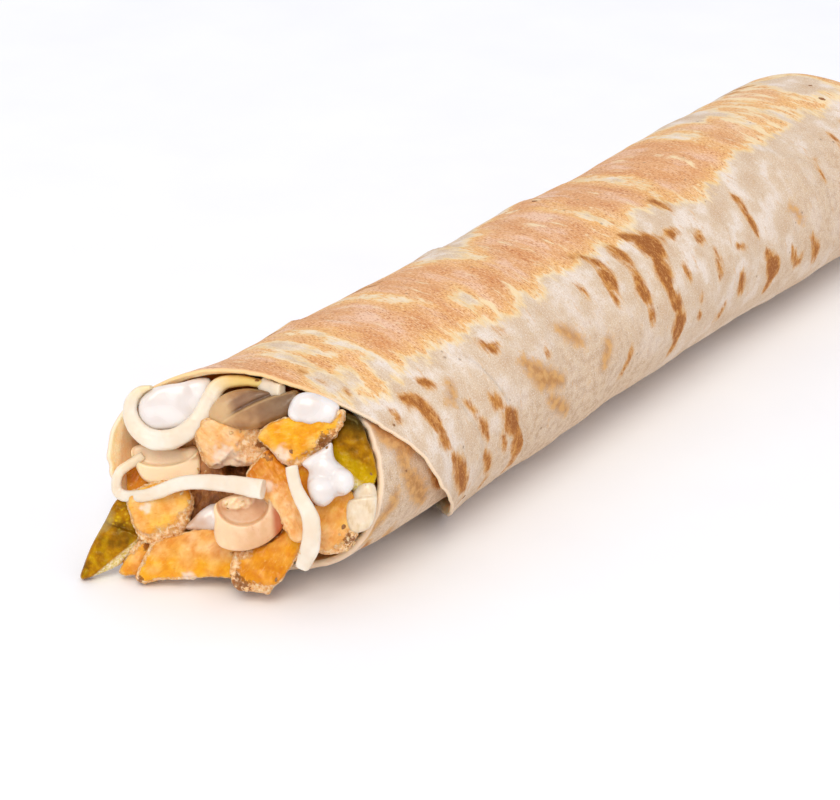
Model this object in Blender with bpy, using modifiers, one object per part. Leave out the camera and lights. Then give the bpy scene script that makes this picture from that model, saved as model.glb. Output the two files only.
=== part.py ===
"""A grilled chicken wrap: one long flour tortilla rolled round its filling.

The roll lies on its seam along Y. Its open end faces -Y and shows the filling: chicken, mushroom, pickle, cheese
and white sauce. Its far end is tucked in. The origin is on the resting face, at mid-length. Every food piece is a
solid of its own, and a core of packed filling runs through the roll behind the pieces that show.
"""

import math

import bmesh
import bpy
import numpy as np
from mathutils import Euler, Matrix, Vector, noise

MM = 0.001

# ---- driving dimensions of the roll ----
ROLL_WIDTH = 65 * MM
ROLL_HEIGHT = 51 * MM
ROLL_SQUARENESS = 2.1  # 2 is an ellipse, more is boxier
MOUTH_Y = -132 * MM  # the plane that the open end's edge swings about
FAR_END_Y = 146 * MM
SHEET = 1.7 * MM  # thickness of the tortilla
LAYER_STEP = 2.2 * MM  # how far the spiral grows in one turn
WIND_START = 60  # degrees round the roll, 0 at +X and 90 at the top
WIND_END = -470
INNER_GROWTH = -2.2 * MM  # growth of the section where the sheet starts
WAIST, WAIST_Y = 1.8 * MM, 60  # how far the roll draws in low on its right, and where along it, in millimetres
FLARE = 3.2 * MM  # how far the mouth bulges high on its left
GAP = 0.3 * MM  # clearance between pieces that touch

# The tortilla's front edge swings along the roll: how far behind the mouth plane it lies, by winding angle.
RIM = {
    60: 22.8, 10: 16.2, -25: 11.8, -70: 9.1, -115: 2, -150: -5, -180: -8.2, -215: -2.9, -235: 4.6,
    -255: 9.2, -285: 12.8, -310: 18.5, -345: 29.5, -365: 34.5, -388: 44, -420: 58.5, -470: 80,
}

# ---- far end ----
CORNER = 9 * MM  # how round the far end's edge is
TUCK_DISH = 5 * MM  # how far the tucked end sinks at its middle
TUCK_SLOT = (0.42, 0.07)  # the slot that the tucked end closes to, as shares of the section

# ---- mesh density ----
WIND_STEPS = 49
ROWS_ALONG = 20
ROUND_FROM, TUCK_FROM = 0.74, 0.88  # shares of the rows where the far corner and the tuck start
BEND_STEPS = 3  # steps between two points of a strand's path
CORE_STEPS, CORE_ROWS = 20, 8

COLLECTION = "chicken_wrap"
CUTTERS = "cutters"


# ---- scene and materials ----
def clear_scene():
    for old in list(bpy.data.objects):
        bpy.data.objects.remove(old, do_unlink=True)


def collection(name):
    made = bpy.data.collections.get(name) or bpy.data.collections.new(name)
    if made.name not in bpy.context.scene.collection.children:
        bpy.context.scene.collection.children.link(made)
    return made


def food_material(name, colour, roughness):
    material = bpy.data.materials.new(name)
    material.use_nodes = True
    shader = material.node_tree.nodes["Principled BSDF"]
    shader.inputs["Base Color"].default_value = (*colour, 1.0)
    shader.inputs["Roughness"].default_value = roughness
    shader.inputs["Metallic"].default_value = 0.0
    return material


MATERIALS = {
    "tortilla": ((0.80, 0.66, 0.50), 0.75),
    "chicken": ((0.80, 0.42, 0.12), 0.50),
    "dark_chicken": ((0.30, 0.16, 0.08), 0.60),
    "mushroom": ((0.72, 0.52, 0.36), 0.45),
    "grey_mushroom": ((0.42, 0.32, 0.22), 0.45),
    "cheese": ((0.90, 0.82, 0.62), 0.40),
    "sauce": ((0.92, 0.90, 0.86), 0.30),
    "pickle": ((0.36, 0.32, 0.05), 0.30),
    "onion": ((0.82, 0.74, 0.56), 0.35),
    "filling": ((0.55, 0.30, 0.12), 0.60),
}


def paint(thing, slot):
    material = bpy.data.materials.get(slot) or food_material(slot, *MATERIALS[slot])
    thing.data.materials.clear()
    thing.data.materials.append(material)


def new_object(name, shape, slot, triangles=True):
    mesh = bpy.data.meshes.new(name)
    if triangles:
        bmesh.ops.triangulate(shape, faces=shape.faces)
    shape.to_mesh(mesh)
    shape.free()
    thing = bpy.data.objects.new(name, mesh)
    collection(COLLECTION).objects.link(thing)
    paint(thing, slot)
    mesh.shade_smooth()
    return thing


# ---- the roll's form ----
def smoothstep(low, high, value):
    share = min(max((value - low) / (high - low), 0.0), 1.0)
    return share * share * (3 - 2 * share)


def angle_gap(angle, centre):
    """How far two directions round the roll are apart, in degrees."""
    return abs((angle - centre + 180) % 360 - 180)


def section_point(angle, growth):
    """A point of the roll's cross-section, as x and z, at an angle in degrees."""
    turn = math.radians(angle)
    across, up = math.cos(turn), math.sin(turn)
    reach = (abs(across) ** ROLL_SQUARENESS + abs(up) ** ROLL_SQUARENESS) ** (-1 / ROLL_SQUARENESS)
    half_width, half_height = ROLL_WIDTH / 2 + growth, ROLL_HEIGHT / 2 + growth
    return reach * half_width * across, ROLL_HEIGHT / 2 + reach * half_height * up


def rim_behind(wind):
    """The front edge's place along Y at a winding angle, on a smooth curve through the places in RIM."""
    winds = sorted(RIM)
    places = [RIM[w] for w in winds]
    slopes = np.gradient(places, winds)
    k = min(max(int(np.searchsorted(winds, wind)) - 1, 0), len(winds) - 2)
    span = winds[k + 1] - winds[k]
    t = (wind - winds[k]) / span
    start, end = (2 * t**3 - 3 * t**2 + 1) * places[k], (3 * t**2 - 2 * t**3) * places[k + 1]
    leave, reach = (t**3 - 2 * t**2 + t) * slopes[k], (t**3 - t**2) * slopes[k + 1]
    return MOUTH_Y + MM * float(start + end + span * (leave + reach))


def lumps(angle, y):
    """Slow swells of the roll over the filling, a waist low on its right and a bulge high on the left of its mouth."""
    turn, along = math.radians(angle), y / MM
    swell = 0.3 * math.sin(2 * turn + along / 31) + 0.25 * math.sin(3 * turn - along / 17 + 1.3)
    waist = math.exp(-(((along - WAIST_Y) / 60) ** 2)) * max(0.0, math.cos(turn - math.radians(-45)))
    flare = (1 - smoothstep(-6 * MM, 22 * MM, y - MOUTH_Y)) * max(0.0, 1 - (angle_gap(angle, 138) / 50) ** 2)
    return MM * (swell + 0.2 * math.sin(along / 11 + 0.7 * math.sin(turn))) - WAIST * waist + FLARE * flare


def corner_lift(angle, y):
    """The inner layer's lower right corner draws in towards the open end."""
    round_it = max(0.0, 1 - (angle_gap(angle, -42) / 52) ** 2)
    return 1.2 * MM * round_it * (1 - smoothstep(2 * MM, 34 * MM, y - MOUTH_Y))


def layer_growth(wind, y):
    growth = INNER_GROWTH + LAYER_STEP * (WIND_START - wind) / 360 + lumps(wind, y)
    if wind > -180:
        return growth - corner_lift(wind, y)
    free_edge = math.exp(-max(y - rim_behind(wind), 0.0) / (9 * MM))
    return growth + 2.2 * MM * free_edge * smoothstep(-325, -380, wind)


def floor_under(wind):
    """What the layer rests on: the ground, or the outer layer below the inner one."""
    if wind < -180:
        return 0.0
    return LAYER_STEP * smoothstep(-128, -112, wind)


def roll_point(wind, share, inset=0.0):
    """Where a point of the flat sheet lies once rolled. share runs from the front edge (0) to the tuck (1)."""
    corner_y = FAR_END_Y - CORNER
    depth = LAYER_STEP * (WIND_START - wind) / 360
    if share < ROUND_FROM:
        front = rim_behind(wind)
        y = front + (corner_y - front) * (share / ROUND_FROM) ** 1.25
        shrink, pull = 0.0, 0.0
    else:
        swing = math.radians(90) * min((share - ROUND_FROM) / (TUCK_FROM - ROUND_FROM), 1.0)
        pull = max(share - TUCK_FROM, 0.0) / (1 - TUCK_FROM)
        shrink = CORNER * (1 - math.cos(swing))
        y = corner_y + (CORNER + depth - LAYER_STEP - inset) * math.sin(swing) - TUCK_DISH * pull**1.5
    growth = layer_growth(wind, y) - shrink - inset
    x, z = section_point(wind, growth)
    z = max(z, floor_under(wind) + inset + shrink * 0.6)
    slot_x, slot_z = section_point(wind, -CORNER)
    slot_x, slot_z = slot_x * TUCK_SLOT[0], ROLL_HEIGHT / 2 + (slot_z - ROLL_HEIGHT / 2) * TUCK_SLOT[1]
    pleat = 1.2 * MM * pull * (1 - pull) * math.sin(math.radians(wind) * 9)
    return Vector((x + (slot_x - x) * pull, y + pleat * 2, z + (slot_z - z) * pull))


def rolled_sheet(name, inset, thickness):
    """A flat grid wound into the roll and given its thickness inwards."""
    shape = bmesh.new()
    bmesh.ops.create_grid(shape, x_segments=WIND_STEPS, y_segments=ROWS_ALONG, size=0.5)
    for vertex in shape.verts:
        wind = WIND_START + (WIND_END - WIND_START) * (vertex.co.x + 0.5)
        vertex.co = roll_point(wind, vertex.co.y + 0.5, inset)
    thing = new_object(name, shape, "tortilla", triangles=False)
    solid = thing.modifiers.new("thickness", "SOLIDIFY")
    solid.thickness = thickness
    solid.offset = -1
    solid.use_even_offset = False
    return thing


def apply_modifiers(thing):
    """Applies the modifiers and leaves triangles, so that a bent face has only one reading."""
    depsgraph = bpy.context.evaluated_depsgraph_get()
    mesh = bpy.data.meshes.new_from_object(thing.evaluated_get(depsgraph))
    thing.modifiers.clear()
    shape = bmesh.new()
    shape.from_mesh(mesh)
    bmesh.ops.triangulate(shape, faces=shape.faces)
    shape.to_mesh(mesh)
    shape.free()
    thing.data = mesh


# ---- food shapes ----
def place(shape, centre, turn):
    """Turns a shape about its own centre, then moves it to a point given from the mouth plane, in millimetres."""
    across, behind, up = centre
    spot = Vector((across * MM, MOUTH_Y + behind * MM, up * MM))
    tilt = Euler([math.radians(a) for a in turn]).to_matrix().to_4x4()
    bmesh.ops.transform(shape, matrix=Matrix.Translation(spot) @ tilt, verts=shape.verts)


def crag(direction, seed, frequency, roughness):
    spot = direction * frequency + Vector((seed * 7.3, seed * 3.1, seed * 5.7))
    return 1 + roughness * noise.noise(spot) + 0.5 * roughness * noise.noise(spot * 2.3)


def lump(name, slot, centre, size, turn=(-25, 0, 36), seed=1, boxy=3.2, roughness=0.16, frequency=1.6, form=None,
         sides=12, rings=8):
    """A piece of food: a ball pressed towards a box, made uneven, and shaped further by form(point) in unit size."""
    shape = bmesh.new()
    bmesh.ops.create_uvsphere(shape, u_segments=sides, v_segments=rings, radius=1)
    for vertex in shape.verts:
        way = vertex.co.normalized()
        reach = sum(abs(c) ** boxy for c in way) ** (-1 / boxy)
        point = way * reach * crag(way, seed, frequency, roughness)
        vertex.co = form(point) if form else point
    bmesh.ops.scale(shape, vec=[s * MM / 2 for s in size], verts=shape.verts)
    place(shape, centre, turn)
    return new_object(name, shape, slot)


def strand(name, slot, path, width, depth, sides=8, squareness=3.2, taper=lambda share: 1):
    """A ribbon along a smooth path of points given from the mouth plane, in millimetres."""
    points = [Vector((x * MM, MOUTH_Y + y * MM, z * MM)) for x, y, z in path]
    spine = smooth_path(points, BEND_STEPS)
    shape = bmesh.new()
    loops = []
    for index, spot in enumerate(spine):
        ahead = spine[min(index + 1, len(spine) - 1)] - spine[max(index - 1, 0)]
        ahead.normalize()
        side = ahead.cross(Vector((0.53, -0.73, 0.42))).normalized()
        front = side.cross(ahead)
        scale = taper(index / (len(spine) - 1)) * MM / 2
        loop = []
        for k in range(sides):
            turn = 2 * math.pi * (k + 0.5) / sides
            reach = (abs(math.cos(turn)) ** squareness + abs(math.sin(turn)) ** squareness) ** (-1 / squareness)
            out = side * math.cos(turn) * width + front * math.sin(turn) * depth
            loop.append(shape.verts.new(spot + out * scale * reach))
        loops.append(loop)
    for near, far in zip(loops, loops[1:]):
        for k in range(sides):
            shape.faces.new((near[k], near[(k + 1) % sides], far[(k + 1) % sides], far[k]))
    shape.faces.new(list(reversed(loops[0])))
    shape.faces.new(loops[-1])
    bmesh.ops.recalc_face_normals(shape, faces=shape.faces)
    return new_object(name, shape, slot)


def smooth_path(points, between):
    """Points on a Catmull-Rom curve through the given ones."""
    ends = [points[0] * 2 - points[1]] + points + [points[-1] * 2 - points[-2]]
    curve = []
    for a, b, c, d in zip(ends, ends[1:], ends[2:], ends[3:]):
        for k in range(between):
            t = k / between
            curve.append(
                0.5 * (2 * b + (c - a) * t + (2 * a - 5 * b + 4 * c - d) * t * t + (3 * b - a - 3 * c + d) * t**3)
            )
    return curve + [points[-1].copy()]


# ---- fitting pieces round each other ----
def grown_copy(thing, by):
    """A copy of a mesh with each point moved out along its normal."""
    shape = bmesh.new()
    shape.from_mesh(thing.data)
    shape.normal_update()
    moves = [vertex.normal * by * min(vertex.calc_shell_factor(), 2.0) for vertex in shape.verts]
    for vertex, move in zip(shape.verts, moves):
        vertex.co += move
    mesh = bpy.data.meshes.new(thing.name + "_grown")
    shape.to_mesh(mesh)
    shape.free()
    copy = bpy.data.objects.new(mesh.name, mesh)
    collection(CUTTERS).objects.link(copy)
    copy.hide_render = True
    copy.display_type = "WIRE"
    return copy


def boxes_meet(one, other, margin):
    for axis in range(3):
        spans = [[(o.matrix_world @ Vector(c))[axis] for c in o.bound_box] for o in (one, other)]
        if max(spans[0]) + margin < min(spans[1]) or max(spans[1]) + margin < min(spans[0]):
            return False
    return True


def keep_largest(thing):
    """Drops the scraps that a cut leaves, and the slivers along its edge."""
    shape = bmesh.new()
    shape.from_mesh(thing.data)
    left = set(shape.verts)
    pieces = []
    while left:
        heap, piece = [left.pop()], []
        while heap:
            vertex = heap.pop()
            piece.append(vertex)
            for edge in vertex.link_edges:
                other = edge.other_vert(vertex)
                if other in left:
                    left.remove(other)
                    heap.append(other)
        pieces.append(piece)
    pieces.sort(key=len, reverse=True)
    for scrap in pieces[1:]:
        bmesh.ops.delete(shape, geom=scrap, context="VERTS")
    shape.to_mesh(thing.data)
    shape.free()


def carve(thing, neighbours):
    """Cuts a piece clear of the pieces that lie before it, which leaves the gap between them."""
    bpy.context.view_layer.update()
    for other in neighbours:
        if not boxes_meet(thing, other, GAP):
            continue
        cutter = grown_copy(other, GAP)
        cut = thing.modifiers.new("clear_of_" + other.name, "BOOLEAN")
        cut.operation = "DIFFERENCE"
        cut.solver = "MANIFOLD"
        cut.object = cutter
        apply_modifiers(thing)
        bpy.data.objects.remove(cutter, do_unlink=True)
    keep_largest(thing)


# ---- the pieces ----
def dimple(point):
    """A mushroom cup: the top face sinks in its middle."""
    if point.z > 0.2:
        middle = max(0.0, 1 - point.x**2 - point.y**2)
        point.z -= 1.1 * middle * min((point.z - 0.2) / 0.5, 1)
    return point


def crease(point):
    """A slice of mushroom with the groove between cap and gills."""
    slope = point.z - 0.35 * point.x - 0.15
    point.y += 0.3 * max(0.0, -point.y) * math.exp(-((slope / 0.3) ** 2))
    return point


def wedge(point):
    """A chunk that thins out to one side."""
    point.z *= 0.72 + 0.28 * point.x
    return point


def bent(point):
    """A slice that curls forward at its ends."""
    point.y -= 0.5 * point.x**2
    return point


def cheese():
    loop = [
        (-5, 13.5, 46), (-13, 10.4, 44.9), (-13.2, 2, 40), (-19.4, -2, 33.9), (-25.8, -5, 35.4), (-26.6, -6, 41),
        (-25, -4.6, 44.4),
    ]
    left = [
        (-26.2, -3, 28.2), (-29, -8.6, 25), (-28.3, -9.6, 20.2), (-20.4, -9.1, 21.8), (-10.6, -6.3, 26.8),
        (0.3, -4.9, 29.3), (10.8, -3.5, 30.6),
    ]
    right = [(16.6, -0.3, 36.7), (19.1, -1.4, 31.5), (23.4, -1.9, 25.6), (23.4, -2.3, 18.6), (20.9, -2, 12.9)]
    end = [(4.2, 12, 48.2), (1.5, 12.2, 47.4), (-1.3, 13, 47.7)]
    return [
        strand("cheese_loop", "cheese", loop, 4.8, 3.4, taper=lambda share: 1 - 0.6 * max(share - 0.85, 0) / 0.15),
        strand("cheese_left", "cheese", left, 4.2, 2.8),
        strand("cheese_right", "cheese", right, 4.3, 3.0),
        strand("cheese_end", "cheese", end, 4.2, 2.6),
    ]


def pickle_blade():
    """A long slice of pickle that hangs out over the edge of the tortilla down to the ground."""
    path = [(-21, 0, 17.5), (-23.3, -5, 15.4), (-26, -9.5, 12.8), (-29, -14, 8.3), (-32.8, -19.3, 1.2)]
    return strand("pickle_left", "pickle", path, 9.8, 3.6, squareness=2.6,
                  taper=lambda share: 1 if share < 0.5 else 1 - 0.94 * ((share - 0.5) / 0.5) ** 1.8)


def fillings():
    """Every piece of filling that shows, from the front ones to those behind them."""
    return cheese() + [
        lump("mushroom_center", "mushroom", (5.2, -3.1, 19.4), (16, 12, 12), seed=2, boxy=3.0, roughness=0.05,
             form=dimple),
        lump("mushroom_left", "mushroom", (-20.4, 1.1, 26.4), (17.5, 11, 9.6), seed=3, boxy=3.0, roughness=0.05,
             form=dimple),
        lump("sauce_center_right", "sauce", (22.6, 4.6, 32), (12.4, 8, 13.8), seed=5, boxy=2.2, roughness=0.5,
             frequency=1.9),
        lump("chicken_bottom_center", "chicken", (7.7, 0.2, 8.5), (14.8, 12, 13.4), seed=6, boxy=3.6),
        lump("chicken_bottom_left", "chicken", (-10, -7, 7), (23, 10, 9.5), seed=7, boxy=4.0, roughness=0.1),
        lump("chicken_scrap_left", "chicken", (-24.2, -10.4, 4.6), (6.5, 7, 8.4), seed=8),
        pickle_blade(),
        lump("chicken_lower_left", "chicken", (-17.1, -2.2, 14.7), (20.5, 14, 13.2), seed=10, boxy=3.4, roughness=0.2),
        lump("sauce_lower", "sauce", (-8.2, -1.2, 15.4), (8, 7, 8.4), seed=11, boxy=2.2, roughness=0.2),
        lump("chicken_center", "chicken", (11.7, 4.1, 26.9), (8, 9, 22.5), turn=(-25, -24, 36), seed=12, boxy=3.0),
        lump("chicken_top", "chicken", (11.7, 11.1, 38.4), (21, 13, 13), turn=(-25, -6, 36), seed=13, boxy=3.2,
             form=wedge),
        lump("sauce_top_right", "sauce", (12.8, 15, 43), (14, 9, 8.2), seed=14, boxy=3.0, roughness=0.2),
        lump("sauce_top_left", "sauce", (-21, 2.4, 40), (14.2, 8, 8.4), seed=15, boxy=2.3, roughness=0.06),
        lump("mushroom_top", "grey_mushroom", (-3.7, 11.5, 40.8), (21, 9, 9), turn=(-25, -8, 36), seed=16,
             boxy=2.6, roughness=0.06, form=crease, sides=14, rings=10),
        lump("chicken_mid", "chicken", (-6.2, 8.3, 32.6), (19, 13, 12), turn=(-25, 6, 36), seed=17, boxy=3.6,
             roughness=0.25),
        lump("pickle_right", "pickle", (23.6, 14, 35.6), (11, 8, 18), seed=18, boxy=2.6, roughness=0.08, form=bent),
        lump("onion_piece", "onion", (27.3, 10.4, 25.2), (7, 6, 10), seed=19, boxy=2.6, roughness=0.15),
        lump("chicken_right_low", "chicken", (22.7, 8.1, 19.8), (12, 12, 14.5), seed=20, boxy=3.4, roughness=0.2),
        lump("chicken_far_left", "chicken", (-26.5, 2, 21.5), (8, 8, 9), seed=21, boxy=3.0),
        lump("dark_chicken", "dark_chicken", (-5.7, 4.1, 24.2), (17, 12, 9.5), seed=22, boxy=3.2, roughness=0.2),
        lump("chicken_behind", "chicken", (12, 4.5, 21.5), (10, 7, 13), turn=(-25, -20, 36), seed=23, boxy=3.0),
    ]


def filling_core():
    """The packed filling that runs through the roll behind the pieces that show."""
    steps, rows = CORE_STEPS, CORE_ROWS
    front, back = MOUTH_Y + 7 * MM, FAR_END_Y - 14 * MM
    clear = SHEET + 1.4 * MM
    shape = bmesh.new()
    rings = []
    for row in range(rows + 1):
        share = row / rows
        ease = 4 * MM * (1 - min(share, 1 - share) * rows) if min(share, 1 - share) * rows < 1 else 0.0
        ring = []
        for step in range(steps):
            angle = 360 * step / steps
            slant = 8 * MM * math.cos(math.radians(angle)) * (1 - share) ** 3
            y = front + (back - front) * share + slant
            growth = INNER_GROWTH - clear - corner_lift(angle, y) + lumps(angle, y) - ease
            x, z = section_point(angle, growth)
            ring.append(shape.verts.new((x, y, max(z, LAYER_STEP + clear + 0.4 * ease))))
        rings.append(ring)
    for near, far in zip(rings, rings[1:]):
        for k in range(steps):
            shape.faces.new((near[k], near[(k + 1) % steps], far[(k + 1) % steps], far[k]))
    shape.faces.new(rings[0])
    shape.faces.new(rings[-1])
    bmesh.ops.recalc_face_normals(shape, faces=shape.faces)
    return new_object("filling_core", shape, "filling")


def build():
    clear_scene()
    tortilla = rolled_sheet("tortilla", 0.0, SHEET)
    apply_modifiers(tortilla)
    wall = rolled_sheet("wall", -GAP, SHEET + 2 * GAP)
    apply_modifiers(wall)
    done = []
    for piece in fillings() + [filling_core()]:
        carve(piece, [wall] + done)
        done.append(piece)
    bpy.data.objects.remove(wall, do_unlink=True)


build()
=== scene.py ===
# %% [markdown]
# # A grilled chicken wrap
# The wrap is one long flour tortilla wound round a filling of chicken, mushroom, pickle, cheese and white
# sauce. The packed CAD model gives each piece its place and main form. This lesson dresses them: it winds
# a finer sheet, toasts it, and carves each piece of filling until it looks like food. The frame comes
# first.

import math
import random
from types import SimpleNamespace

import bmesh
import bpy
import numpy as np
from mathutils import Euler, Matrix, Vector, noise


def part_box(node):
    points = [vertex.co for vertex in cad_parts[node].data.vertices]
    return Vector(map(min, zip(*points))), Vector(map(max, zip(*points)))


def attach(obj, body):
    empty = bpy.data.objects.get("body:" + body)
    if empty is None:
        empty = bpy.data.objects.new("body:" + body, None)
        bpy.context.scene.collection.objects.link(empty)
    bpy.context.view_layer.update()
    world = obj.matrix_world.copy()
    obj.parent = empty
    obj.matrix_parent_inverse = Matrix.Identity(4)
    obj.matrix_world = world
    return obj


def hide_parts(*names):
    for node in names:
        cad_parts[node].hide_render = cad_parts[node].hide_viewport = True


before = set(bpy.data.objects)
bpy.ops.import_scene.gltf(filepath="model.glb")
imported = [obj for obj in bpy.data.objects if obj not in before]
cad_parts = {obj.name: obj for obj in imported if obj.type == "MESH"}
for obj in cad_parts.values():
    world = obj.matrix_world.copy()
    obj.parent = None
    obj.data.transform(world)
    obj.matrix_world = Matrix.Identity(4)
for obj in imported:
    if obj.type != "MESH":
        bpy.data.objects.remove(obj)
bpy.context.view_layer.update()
MM = 0.001

# %% [markdown]
# ## The camera
# The picture was taken from in front of the open end, a little to its right, looking 25 degrees down. It
# was a long lens: the roll hardly shrinks towards its far end. A lens of 143 mm on a sensor 36 mm wide
# gives that.

# %% Set up the camera
def add_object(name, data):
    thing = bpy.data.objects.new(name, data)
    bpy.context.scene.collection.objects.link(thing)
    return thing


CAMERA_PLACE = (0.447256, -0.676601, 0.376891)
CAMERA_TURN = Euler((math.radians(65), 0.0, math.radians(35.888)))

lens = bpy.data.cameras.new("photo_camera")
lens.lens, lens.sensor_width = 143.008, 36.0
lens.clip_start, lens.clip_end = 0.05, 20.0
camera = add_object("photo_camera", lens)
camera.location, camera.rotation_euler = CAMERA_PLACE, CAMERA_TURN
bpy.context.scene.camera = camera
print("camera", [round(c, 3) for c in CAMERA_PLACE], "lens", round(lens.lens, 1))

# %% [markdown]
# ## The form of the roll
# The roll could be bent from a flat sheet with curve modifiers, but then its layers would slip through
# each other. Here a formula says where each point of the flat sheet ends up once it is wound: the winding
# angle runs from 60 degrees down to -470, so the sheet goes round once for its inner layer and on over
# its own start. The numbers are the ones that the CAD part was made with, so the fine sheet lies where
# the plain one does.

# %% Sizes of the roll
ROLL_WIDTH, ROLL_HEIGHT = 65.0, 51.0  # millimetres, as all lengths in this lesson until a mesh is made
ROLL_SQUARENESS = 2.1  # 2 would be an ellipse
MOUTH_Y, FAR_END_Y = -132.0, 146.0
SHEET, LAYER_STEP = 1.7, 2.2  # the sheet's thickness, and how much further out the next layer lies
WIND_START, WIND_END = 60.0, -470.0  # degrees round the roll, 0 on its right and 90 on top
INNER_END = -110.0  # where the inner layer's front edge goes under the outer layer
INNER_GROWTH = -2.2
WAIST, WAIST_Y, FLARE = 1.8, 60.0, 3.2
CORNER, TUCK_DISH = 9.0, 5.0  # radius of the far end's corner, and how deep its middle is drawn in
TUCK_SLOT = (0.42, 0.07)  # the slot that the tuck closes to, as shares of the roll's section
ROUND_FROM, TUCK_FROM = 0.74, 0.88  # shares of the sheet's length where the corner and the tuck start
RIM = {  # winding angle: how far the front edge lies behind MOUTH_Y
    60: 22.8, 10: 16.2, -25: 11.8, -70: 9.1, -115: 2, -150: -5, -180: -8.2, -215: -2.9, -235: 4.6,
    -255: 9.2, -285: 12.8, -310: 18.5, -345: 29.5, -365: 34.5, -388: 44, -420: 58.5, -470: 80,
}
RIM_WINDS = np.array(sorted(RIM), float)
RIM_PLACES = np.array([RIM[w] for w in sorted(RIM)], float)
RIM_SLOPES = np.gradient(RIM_PLACES, RIM_WINDS)
print("rim swings over", RIM_PLACES.max() - RIM_PLACES.min(), "mm")

# %% Formulas of the roll
def smoothstep(low, high, value):
    share = np.clip((value - low) / (high - low), 0.0, 1.0)
    return share * share * (3 - 2 * share)


def angle_gap(angle, centre):
    """How far two directions round the roll are apart, in degrees."""
    return np.abs((angle - centre + 180) % 360 - 180)


def section_point(angle, growth):
    """A point of the roll's cross-section, as x and z."""
    across, up = np.cos(np.radians(angle)), np.sin(np.radians(angle))
    reach = (np.abs(across) ** ROLL_SQUARENESS + np.abs(up) ** ROLL_SQUARENESS) ** (-1 / ROLL_SQUARENESS)
    x = reach * (ROLL_WIDTH / 2 + growth) * across
    z = ROLL_HEIGHT / 2 + reach * (ROLL_HEIGHT / 2 + growth) * up
    return x, z


def rim_behind(wind):
    """The front edge's place along Y, on a smooth curve through the places in RIM."""
    k = np.clip(np.searchsorted(RIM_WINDS, wind) - 1, 0, len(RIM_WINDS) - 2)
    span = RIM_WINDS[k + 1] - RIM_WINDS[k]
    t = (wind - RIM_WINDS[k]) / span
    start, end = (2 * t**3 - 3 * t**2 + 1) * RIM_PLACES[k], (3 * t**2 - 2 * t**3) * RIM_PLACES[k + 1]
    leave, reach = (t**3 - 2 * t**2 + t) * RIM_SLOPES[k], (t**3 - t**2) * RIM_SLOPES[k + 1]
    return MOUTH_Y + start + end + span * (leave + reach)


def lumps(angle, y):
    """Slow swells over the filling, a waist low on the right and a bulge high on the left of the mouth."""
    turn = np.radians(angle)
    swell = 0.3 * np.sin(2 * turn + y / 31) + 0.25 * np.sin(3 * turn - y / 17 + 1.3)
    waist = np.exp(-(((y - WAIST_Y) / 60) ** 2)) * np.maximum(0.0, np.cos(turn - math.radians(-45)))
    flare = (1 - smoothstep(-6, 22, y - MOUTH_Y)) * np.maximum(0.0, 1 - (angle_gap(angle, 138) / 50) ** 2)
    return swell + 0.2 * np.sin(y / 11 + 0.7 * np.sin(turn)) - WAIST * waist + FLARE * flare


def corner_lift(angle, y):
    """How far the inner layer is drawn in, low on the right by the mouth."""
    round_it = np.maximum(0.0, 1 - (angle_gap(angle, -42) / 52) ** 2)
    return 1.2 * round_it * (1 - smoothstep(2, 34, y - MOUTH_Y))


def layer_growth(wind, y):
    """How far a layer lies outside the plain section; the free edge of the outer one stands off."""
    growth = INNER_GROWTH + LAYER_STEP * (WIND_START - wind) / 360 + lumps(wind, y)
    free_edge = np.exp(-np.maximum(y - rim_behind(wind), 0.0) / 9)
    lifted = 2.2 * free_edge * smoothstep(-325, -380, wind)
    return growth + np.where(wind > -180, -corner_lift(wind, y), lifted)


def floor_under(wind):
    """The lowest place a layer can have: on the table, or on the layer below."""
    return np.where(wind < -180, 0.0, LAYER_STEP * smoothstep(-128, -112, wind))


print("half width at mid-length:", round(float(section_point(0.0, layer_growth(-360.0, 0.0))[0]), 1), "mm")

# %% [markdown]
# ## Folds and wrinkles
# A tortilla that is wound by hand has laps where the sheet was pulled over, and small wrinkles that run
# round the roll. They could be painted on as bump, but a lap has an edge that casts a shadow, so they are
# moves of the sheet itself. Each lap is a line over the sheet, given by a few places: in front of the
# line the sheet stands higher.

# %% Relief of the sheet
LAPS = {  # height and how far forward it fades, in mm, then the line as winding angle: mm behind the mouth
    "low_right": (1.0, 15, {-312: 60, -332: 63.5, -352: 67, -366: 70.5, -378: 73, -392: 75}),
    "beside_flap": (0.45, 8, {-322: 46, -340: 50.5, -352: 53, -362: 54, -384: 52.5, -392: 51}),
    "shoulder_near": (0.7, 9, {-212: 55, -232: 50, -255: 47, -272: 49}),
    "shoulder_mid": (0.8, 12, {-205: 112, -230: 107, -252: 104, -268: 108}),
    "shoulder_far": (0.8, 12, {-205: 152, -228: 149, -246: 147, -262: 150}),
    "top_far": (0.5, 14, {-248: 214, -272: 209, -296: 214, -318: 226}),
}


def lap_relief(wind, behind):
    relief = np.zeros_like(wind)
    for height, reach, line in LAPS.values():
        winds = sorted(line)
        place = np.interp(wind, winds, [line[w] for w in winds])
        ends = smoothstep(winds[0] - 1, winds[0] + 7, wind)
        ends = ends * (1 - smoothstep(winds[-1] - 9, winds[-1] + 1, wind))
        ahead = place - behind
        relief += height * ends * smoothstep(-0.5, 0.5, ahead) * np.exp(-np.maximum(ahead, 0) / reach)
    return relief


def noise_field(points, size, seed=0):
    """Perlin noise at many points. size is about how wide one swell is, in the points' own unit."""
    shift = Vector((seed * 7.3 + 0.37, seed * 3.1 + 0.71, seed * 5.7 + 0.13))
    return np.array([noise.noise(Vector(p) / size + shift) for p in points.reshape(-1, 3).tolist()])


print("laps in the sheet:", ", ".join(LAPS))

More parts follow.
